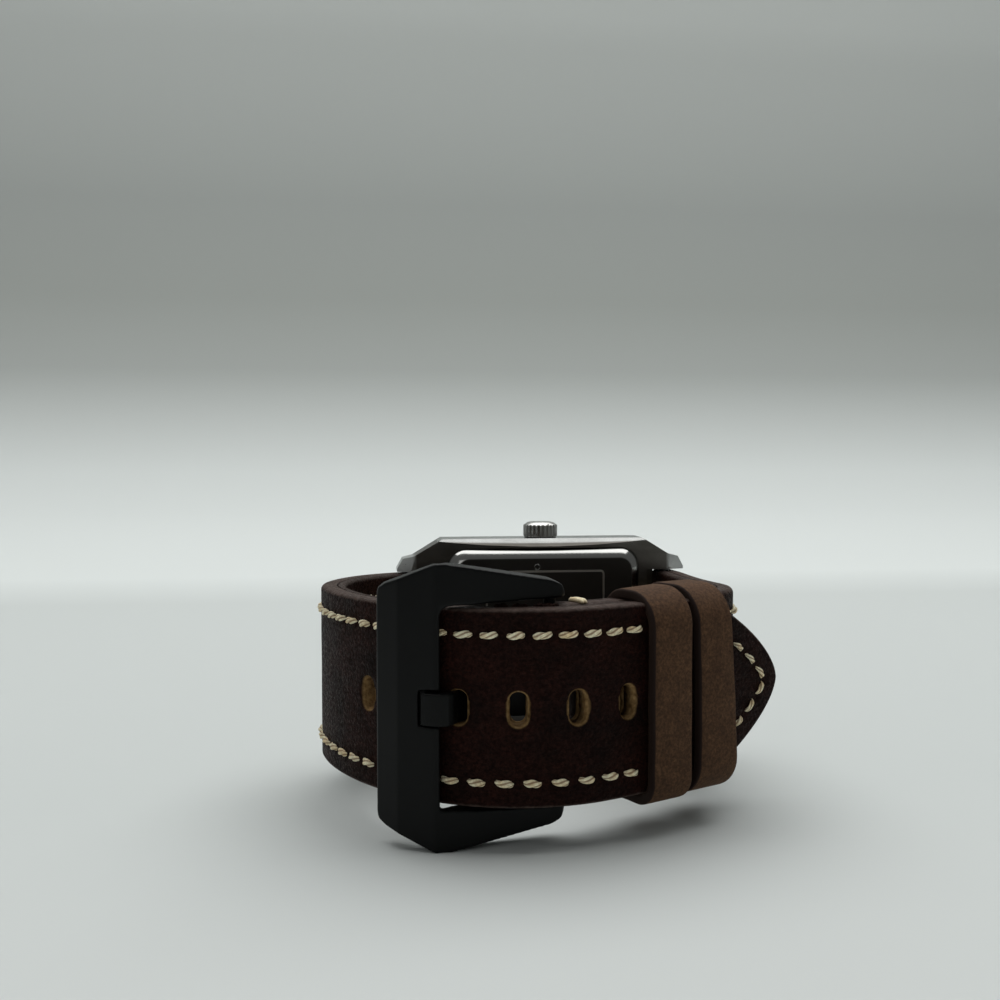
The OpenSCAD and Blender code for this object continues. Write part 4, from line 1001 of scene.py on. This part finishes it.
soft_copy("buckle_frame", "buckle_body", 0.16, 8, shape_frame, "buckle")
soft_copy("buckle_tongue", "buckle_prong", 0.11, 6, shape_tongue, "tongue")
refine("buckle_pin", COATING, 0.1)
refine("case_middle", CASE, 0.25, 3)
refine("bezel", BEZEL, 0.08)


CROWN_FOOT, CROWN_SCALE = 17.44, 0.86


def low_crown():
    """The crown's own mesh, a little lower, which stands just off the flank."""
    mesh = frame["nodes"]["crown"].data.copy()
    o = link_object("crown_cap", mesh)
    foot = min(1000 * v.co.z for v in mesh.vertices)
    for v in mesh.vertices:
        v.co.z = (CASE_Z + CROWN_FOOT + (1000 * v.co.z - foot) * CROWN_SCALE) / 1000
    only_material(mesh, CROWN)
    break_edges(o, 0.06)
    stand_for(o, "crown", "crown")


low_crown()


# The pieces inside the case keep their solids, and each gets its own finish
def sunray(name, colour):
    """Dial paint with rays from the middle."""
    k = Mat(name, 0.42, 0.0, 0.5)
    shift = k.t.nodes.new("ShaderNodeMapping")
    shift.inputs["Location"].default_value = (-CASE_X / 1000, 0, -CASE_Z / 1000)
    k.link(k.coord, shift.inputs["Vector"])
    part = k.split(shift.outputs[0])
    angle = k.math("ARCTAN2", part["X"], part["Z"])
    around = k.t.nodes.new("ShaderNodeCombineXYZ")
    k.link(angle, around.inputs[0])
    ray = k.t.nodes.new("ShaderNodeTexNoise")
    ray.inputs["Scale"].default_value = 90
    ray.inputs["Detail"].default_value = 3
    k.link(around.outputs[0], ray.inputs["Vector"])
    k.base(k.shade(0.5, colour, ray.outputs["Fac"], [(0.3, 0.82), (0.7, 1.0)]))
    k.rough(k.ramp(ray.outputs["Fac"], [(0.3, 0.34), (0.7, 0.5)]))
    k.normal(k.bump(k.noise(2600, 3), 0.08, 0.01))
    return k.m


def glass(name):
    k = Mat(name, 0.02, 0.0, 0.5)
    k.b.inputs["Transmission Weight"].default_value = 1.0
    k.b.inputs["IOR"].default_value = 1.5
    k.rough(k.ramp(k.noise(400, 3), [(0.4, 0.015), (0.75, 0.05)]))
    k.base(k.ramp(k.noise(60, 2), [(0.3, (0.97, 0.985, 0.98, 1)), (0.7, (1, 1, 1, 1))]))
    return k.m


def winding(name):
    """Fine copper wire, wound."""
    k = Mat(name, 0.35, 0.8)
    w = k.t.nodes.new("ShaderNodeTexWave")
    w.bands_direction = "DIAGONAL"
    w.inputs["Scale"].default_value = 1700
    w.inputs["Distortion"].default_value = 0.6
    k.link(k.coord, w.inputs["Vector"])
    k.base(k.ramp(w.outputs["Fac"], [(0.2, srgb(96, 48, 22)), (0.7, srgb(190, 112, 62))]))
    k.rough(k.ramp(k.noise(900, 3), [(0.3, 0.3), (0.7, 0.45)]))
    k.normal(k.bump(w.outputs["Fac"], 0.5, 0.05))
    return k.m


FINISH = {
    "glass": glass("glass"),
    "gasket_rubber": plain("gasket_rubber", srgb(38, 38, 38), 0.7),
    "dial_paint": sunray("dial_paint", srgb(226, 222, 210)),
    "ring_black": plain("ring_black", srgb(32, 32, 34), 0.5),
    "marker_steel": brushed("marker_steel", srgb(176, 176, 174), 0.2),
    "hand_black": coated("hand_black", srgb(30, 30, 32), srgb(44, 44, 46), 0.35),
    "hand_red": plain("hand_red", srgb(158, 28, 24), 0.4),
    "holder_plastic": plain("holder_plastic", srgb(196, 196, 190), 0.5, 0.0, 700, 0.2),
    "plate_metal": brushed("plate_metal", srgb(186, 180, 166), 0.34, strength=0.2),
    "bridge_metal": brushed("bridge_metal", srgb(196, 184, 148), 0.3, (0.15, 1, 1), 700, 0.2),
    "board_green": plain("board_green", srgb(30, 84, 52), 0.45, 0.0, 1200, 0.15),
    "coil_copper": winding("coil_copper"),
    "core_iron": brushed("core_iron", srgb(132, 130, 128), 0.36),
    "battery_steel": brushed("battery_steel", srgb(190, 190, 188), 0.24, scale=500, strength=0.1),
    "spring_steel": brushed("spring_steel", srgb(168, 168, 166), 0.26),
    "screw_blue": brushed("screw_blue", srgb(60, 78, 128), 0.26),
    "wheel_brass": brushed("wheel_brass", srgb(200, 164, 88), 0.3),
    "rotor_magnet": plain("rotor_magnet", srgb(70, 70, 74), 0.4, 0.6),
    "stem_steel": brushed("stem_steel", srgb(156, 156, 154), 0.3, (1, 1, 0.2)),
    "bar_steel": brushed("bar_steel", srgb(158, 158, 155), 0.28, (1, 1, 0.2)),
}
for entry in frame["record"]["subparts"]:
    if entry["material_slot"] in FINISH:
        refine(entry["node"], FINISH[entry["material_slot"]], 0.0)

TRACK_Y, TRACK_AT, TICK_AT = (1.58, 1.63), 10.8, 11.1


def printed_bar(x, z, cx, cz, half_l, half_w):
    """A thin bar on the dial at (x, z), along (cx, cz)."""
    verts = [world(x + a * half_l * cx - b * half_w * cz, y, z + a * half_l * cz + b * half_w * cx)
             for y in TRACK_Y for a, b in ((1, 1), (-1, 1), (-1, -1), (1, -1))]
    sides = [(i, 4 + i, 4 + (i + 1) % 4, (i + 1) % 4) for i in range(4)]
    return verts, [(0, 1, 2, 3), (7, 6, 5, 4)] + sides


def minute_track():
    """The dial's printed minute track: 60 ticks outside a square line."""
    bars = []
    for m in range(60):
        a = math.radians(6 * m)
        cx, cz = math.cos(a), math.sin(a)
        stretch = 1 / max(abs(cx), abs(cz))
        out = TICK_AT * stretch
        bars.append(printed_bar(cx * out, cz * out, cx, cz, 0.3 * stretch, 0.12 if m % 5 == 0 else 0.06))
    for cx, cz in ((1, 0), (-1, 0), (0, 1), (0, -1)):
        bars.append(printed_bar(TRACK_AT * cx, TRACK_AT * cz, cz, cx, TRACK_AT + 0.05, 0.05))
    ink = plain("track_ink", srgb(38, 38, 40), 0.5)
    track = new_object("dial_minute_track", *join(bars), ink, smooth=False)
    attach(track, "case_and_strap")


minute_track()


def rounded_loop(length, width, r):
    """A rounded rectangle, with points along its straight sides too."""
    per, side = 10, 6
    r = max(r, 0.02)
    ring = list(corners(length / 2, width / 2, (r,) * 4, per))
    out = []
    for n in range(0, len(ring), per + 1):
        out += ring[n:n + per + 1]
        (x, z), (tx, tz) = out[-1], ring[(n + per + 1) % len(ring)]
        out += [(x + (tx - x) * k / side, z + (tz - z) * k / side) for k in range(1, side)]
    return out


BACK_L, BACK_W, BACK_R, BACK_EDGE = 30.4, 31.8, 3.0, 1.6
SEAT_Y, FACE_Y = -3.8, -5.6
FRAME_L, FRAME_W, FRAME_DEPTH = 18.4, 24.8, 0.12
LIP = [(26.8, -3.82), (26.8, -2.92), (25.0, -2.92), (25.0, -3.82)]
MARK_X, MARK_Z, MARK_R = -1.3, 13.1, 0.42


def case_back():
    """Rings of rounded rectangles from the seat over the soft edge to the engraved frame line, the lip that
    snaps into the case, and the small round mark at the top."""
    rings = [(0.0, SEAT_Y)]
    for i in range(15):
        a = math.radians(90 * i / 14)
        rings.append((BACK_EDGE * (1 - max(0.0, math.cos(a)) ** 1.5),
                      FACE_Y + BACK_EDGE * (1 - math.sin(a) ** 1.5)))
    loops = [(rounded_loop(BACK_L - 2 * i, BACK_W - 2 * i, BACK_R - 0.75 * i), y) for i, y in rings]
    # The edge values polish the soft edge and give it a painted highlight.
    edge = [1.0] * (len(loops) - 3) + [0.6, 0.2] + [0.0] * 5
    line = [0.0] * (len(loops) + 1) + [1.0, 1.0, 0.0]
    for inset, depth in ((-0.19, 0.0), (-0.1, FRAME_DEPTH), (0.1, FRAME_DEPTH), (0.19, 0.0)):
        loops.append((rounded_loop(FRAME_L - 2 * inset, FRAME_W - 2 * inset, 0.5 - inset), FACE_Y + depth))
    m = len(loops[0][0])
    seat, face = tuple(range(m)), tuple(range((len(loops) - 1) * m, len(loops) * m))
    faces = skin(len(loops), m, turned=True) + [face[::-1], seat]
    faces += skin(len(LIP), m, len(loops) * m, closed=True)
    loops += [(rounded_loop(w, w, 2.8 if w > 26 else 2.0), y) for w, y in LIP]
    verts = [world(x, y, z) for loop, y in loops for x, z in loop]
    around, across = 20, 8
    faces += skin(around, across, len(verts), closed=True)
    for i in range(around):
        for j in range(across):
            a, b = 2 * math.pi * i / around, 2 * math.pi * j / across
            r = MARK_R + 0.09 * math.cos(b)
            x, z = MARK_X + r * math.cos(a), MARK_Z + r * math.sin(a)
            verts.append(world(x, FACE_Y - 0.09 * math.sin(b), z))
    plate = new_object("case_back_plate", verts, faces, BACK)
    for poly in plate.data.polygons:
        poly.use_smooth = abs(poly.normal.y) < 0.9999
    lip, mark = len(LIP) * m, around * across
    # The mark gets part of the soft edge's polish and painted highlight.
    point_value(plate, "edge", [e for e in edge for _ in range(m)] + [0.0] * lip + [0.6] * mark)
    point_value(plate, "line", [e for e in line for _ in range(m)] + [0.0] * (lip + mark))
    stand_for(plate, "case_back", "case_and_strap")


case_back()

# The camera that was fitted to the photograph: focal length and frame in pixels, turn and dip in radians
FOCAL, FRAME_PIXELS = 1137.838, 1000
CAMERA_AT, CAMERA_TURN, CAMERA_DIP = (-29.2301, -179.6761, 30.1007), 0.1261735, 0.0373527
camera = bpy.data.cameras.new("camera")
camera.sensor_width = 36
camera.lens = 36 * FOCAL / FRAME_PIXELS
camera.clip_start = 0.001
eye = link_object("camera", camera)
eye.location = world(*CAMERA_AT)
look = Vector((math.sin(CAMERA_TURN), math.cos(CAMERA_TURN), -math.tan(CAMERA_DIP)))
eye.rotation_euler = look.to_track_quat("-Z", "Y").to_euler()
bpy.context.scene.camera = eye

# Floor and backdrop in metres: one sweep, whose colour follows its own depth and height as painted light and
# shade: the floor's lightness changes with depth, and the wall is darker in a band above the floor and
# lighter towards its top.
FLOOR_FROM, SWEEP_AT, SWEEP_R, SWEEP_TOP, SWEEP_HALF = -0.8, 0.30, 0.35, 1.4, 1.8
# Painted light and shade of the stage, by floor depth and wall height.
FLOOR_PAINTED_LIGHT = [(0.4, srgb(212, 216, 214)), (0.5, srgb(205, 210, 208)), (0.72, srgb(201, 206, 204)),
              (0.8, srgb(217, 222, 220))]
WALL_PAINTED_LIGHT = [(0.0, srgb(219, 224, 222)), (0.04, srgb(205, 210, 208)), (0.1, srgb(160, 164, 161)),
             (0.15, srgb(151, 155, 151)), (0.22, srgb(154, 158, 155)), (0.36, srgb(187, 191, 188))]


def stage_paint():
    k = Mat("stage", 0.9, 0.0, 0.1)
    where = k.split(k.t.nodes.new("ShaderNodeNewGeometry").outputs["Position"])
    floor = k.ramp(k.math("MULTIPLY_ADD", where["Y"], 1.0, 0.5), FLOOR_PAINTED_LIGHT)
    wall = k.ramp(where["Z"], WALL_PAINTED_LIGHT)
    k.base(k.mix(k.ramp(where["Z"], [(0.0, 0.0), (0.02, 1.0)]), floor, wall))
    return k.m


profile = [(FLOOR_FROM, 0.0), (SWEEP_AT, 0.0)]
for a in (math.radians(degrees) for degrees in range(4, 91, 4)):
    profile.append((SWEEP_AT + SWEEP_R * math.sin(a), SWEEP_R - SWEEP_R * math.cos(a)))
profile.append((SWEEP_AT + SWEEP_R, SWEEP_TOP))
verts = [(x, y, z) for y, z in profile for x in (-SWEEP_HALF, SWEEP_HALF)]
faces = [(2 * i, 2 * i + 1, 2 * i + 3, 2 * i + 2) for i in range(len(profile) - 1)]
stage = new_object("stage_sweep", verts, faces, stage_paint())


def area_light(name, place, aim, size, power):
    lamp = bpy.data.lights.new(name, "AREA")
    lamp.shape = "RECTANGLE"
    lamp.size, lamp.size_y = size
    lamp.energy = power
    o = link_object(name, lamp)
    o.location = place
    o.rotation_euler = (Vector(aim) - Vector(place)).to_track_quat("-Z", "Y").to_euler()


area_light("top_light", (0.04, 0.4, 0.82), (0, 0.03, 0), (1.4, 1.1), 13.5)
area_light("front_fill", (-0.5, -0.9, 0.6), (0, 0, 0.02), (0.7, 0.5), 0.8)
sky = bpy.data.worlds.new("world")
bpy.context.scene.world = sky
sky.use_nodes = True
background = sky.node_tree.nodes["Background"].inputs
background["Color"].default_value = (0.84, 0.86, 0.85, 1)
background["Strength"].default_value = 0.19
bpy.context.scene.view_settings.view_transform = "Standard"
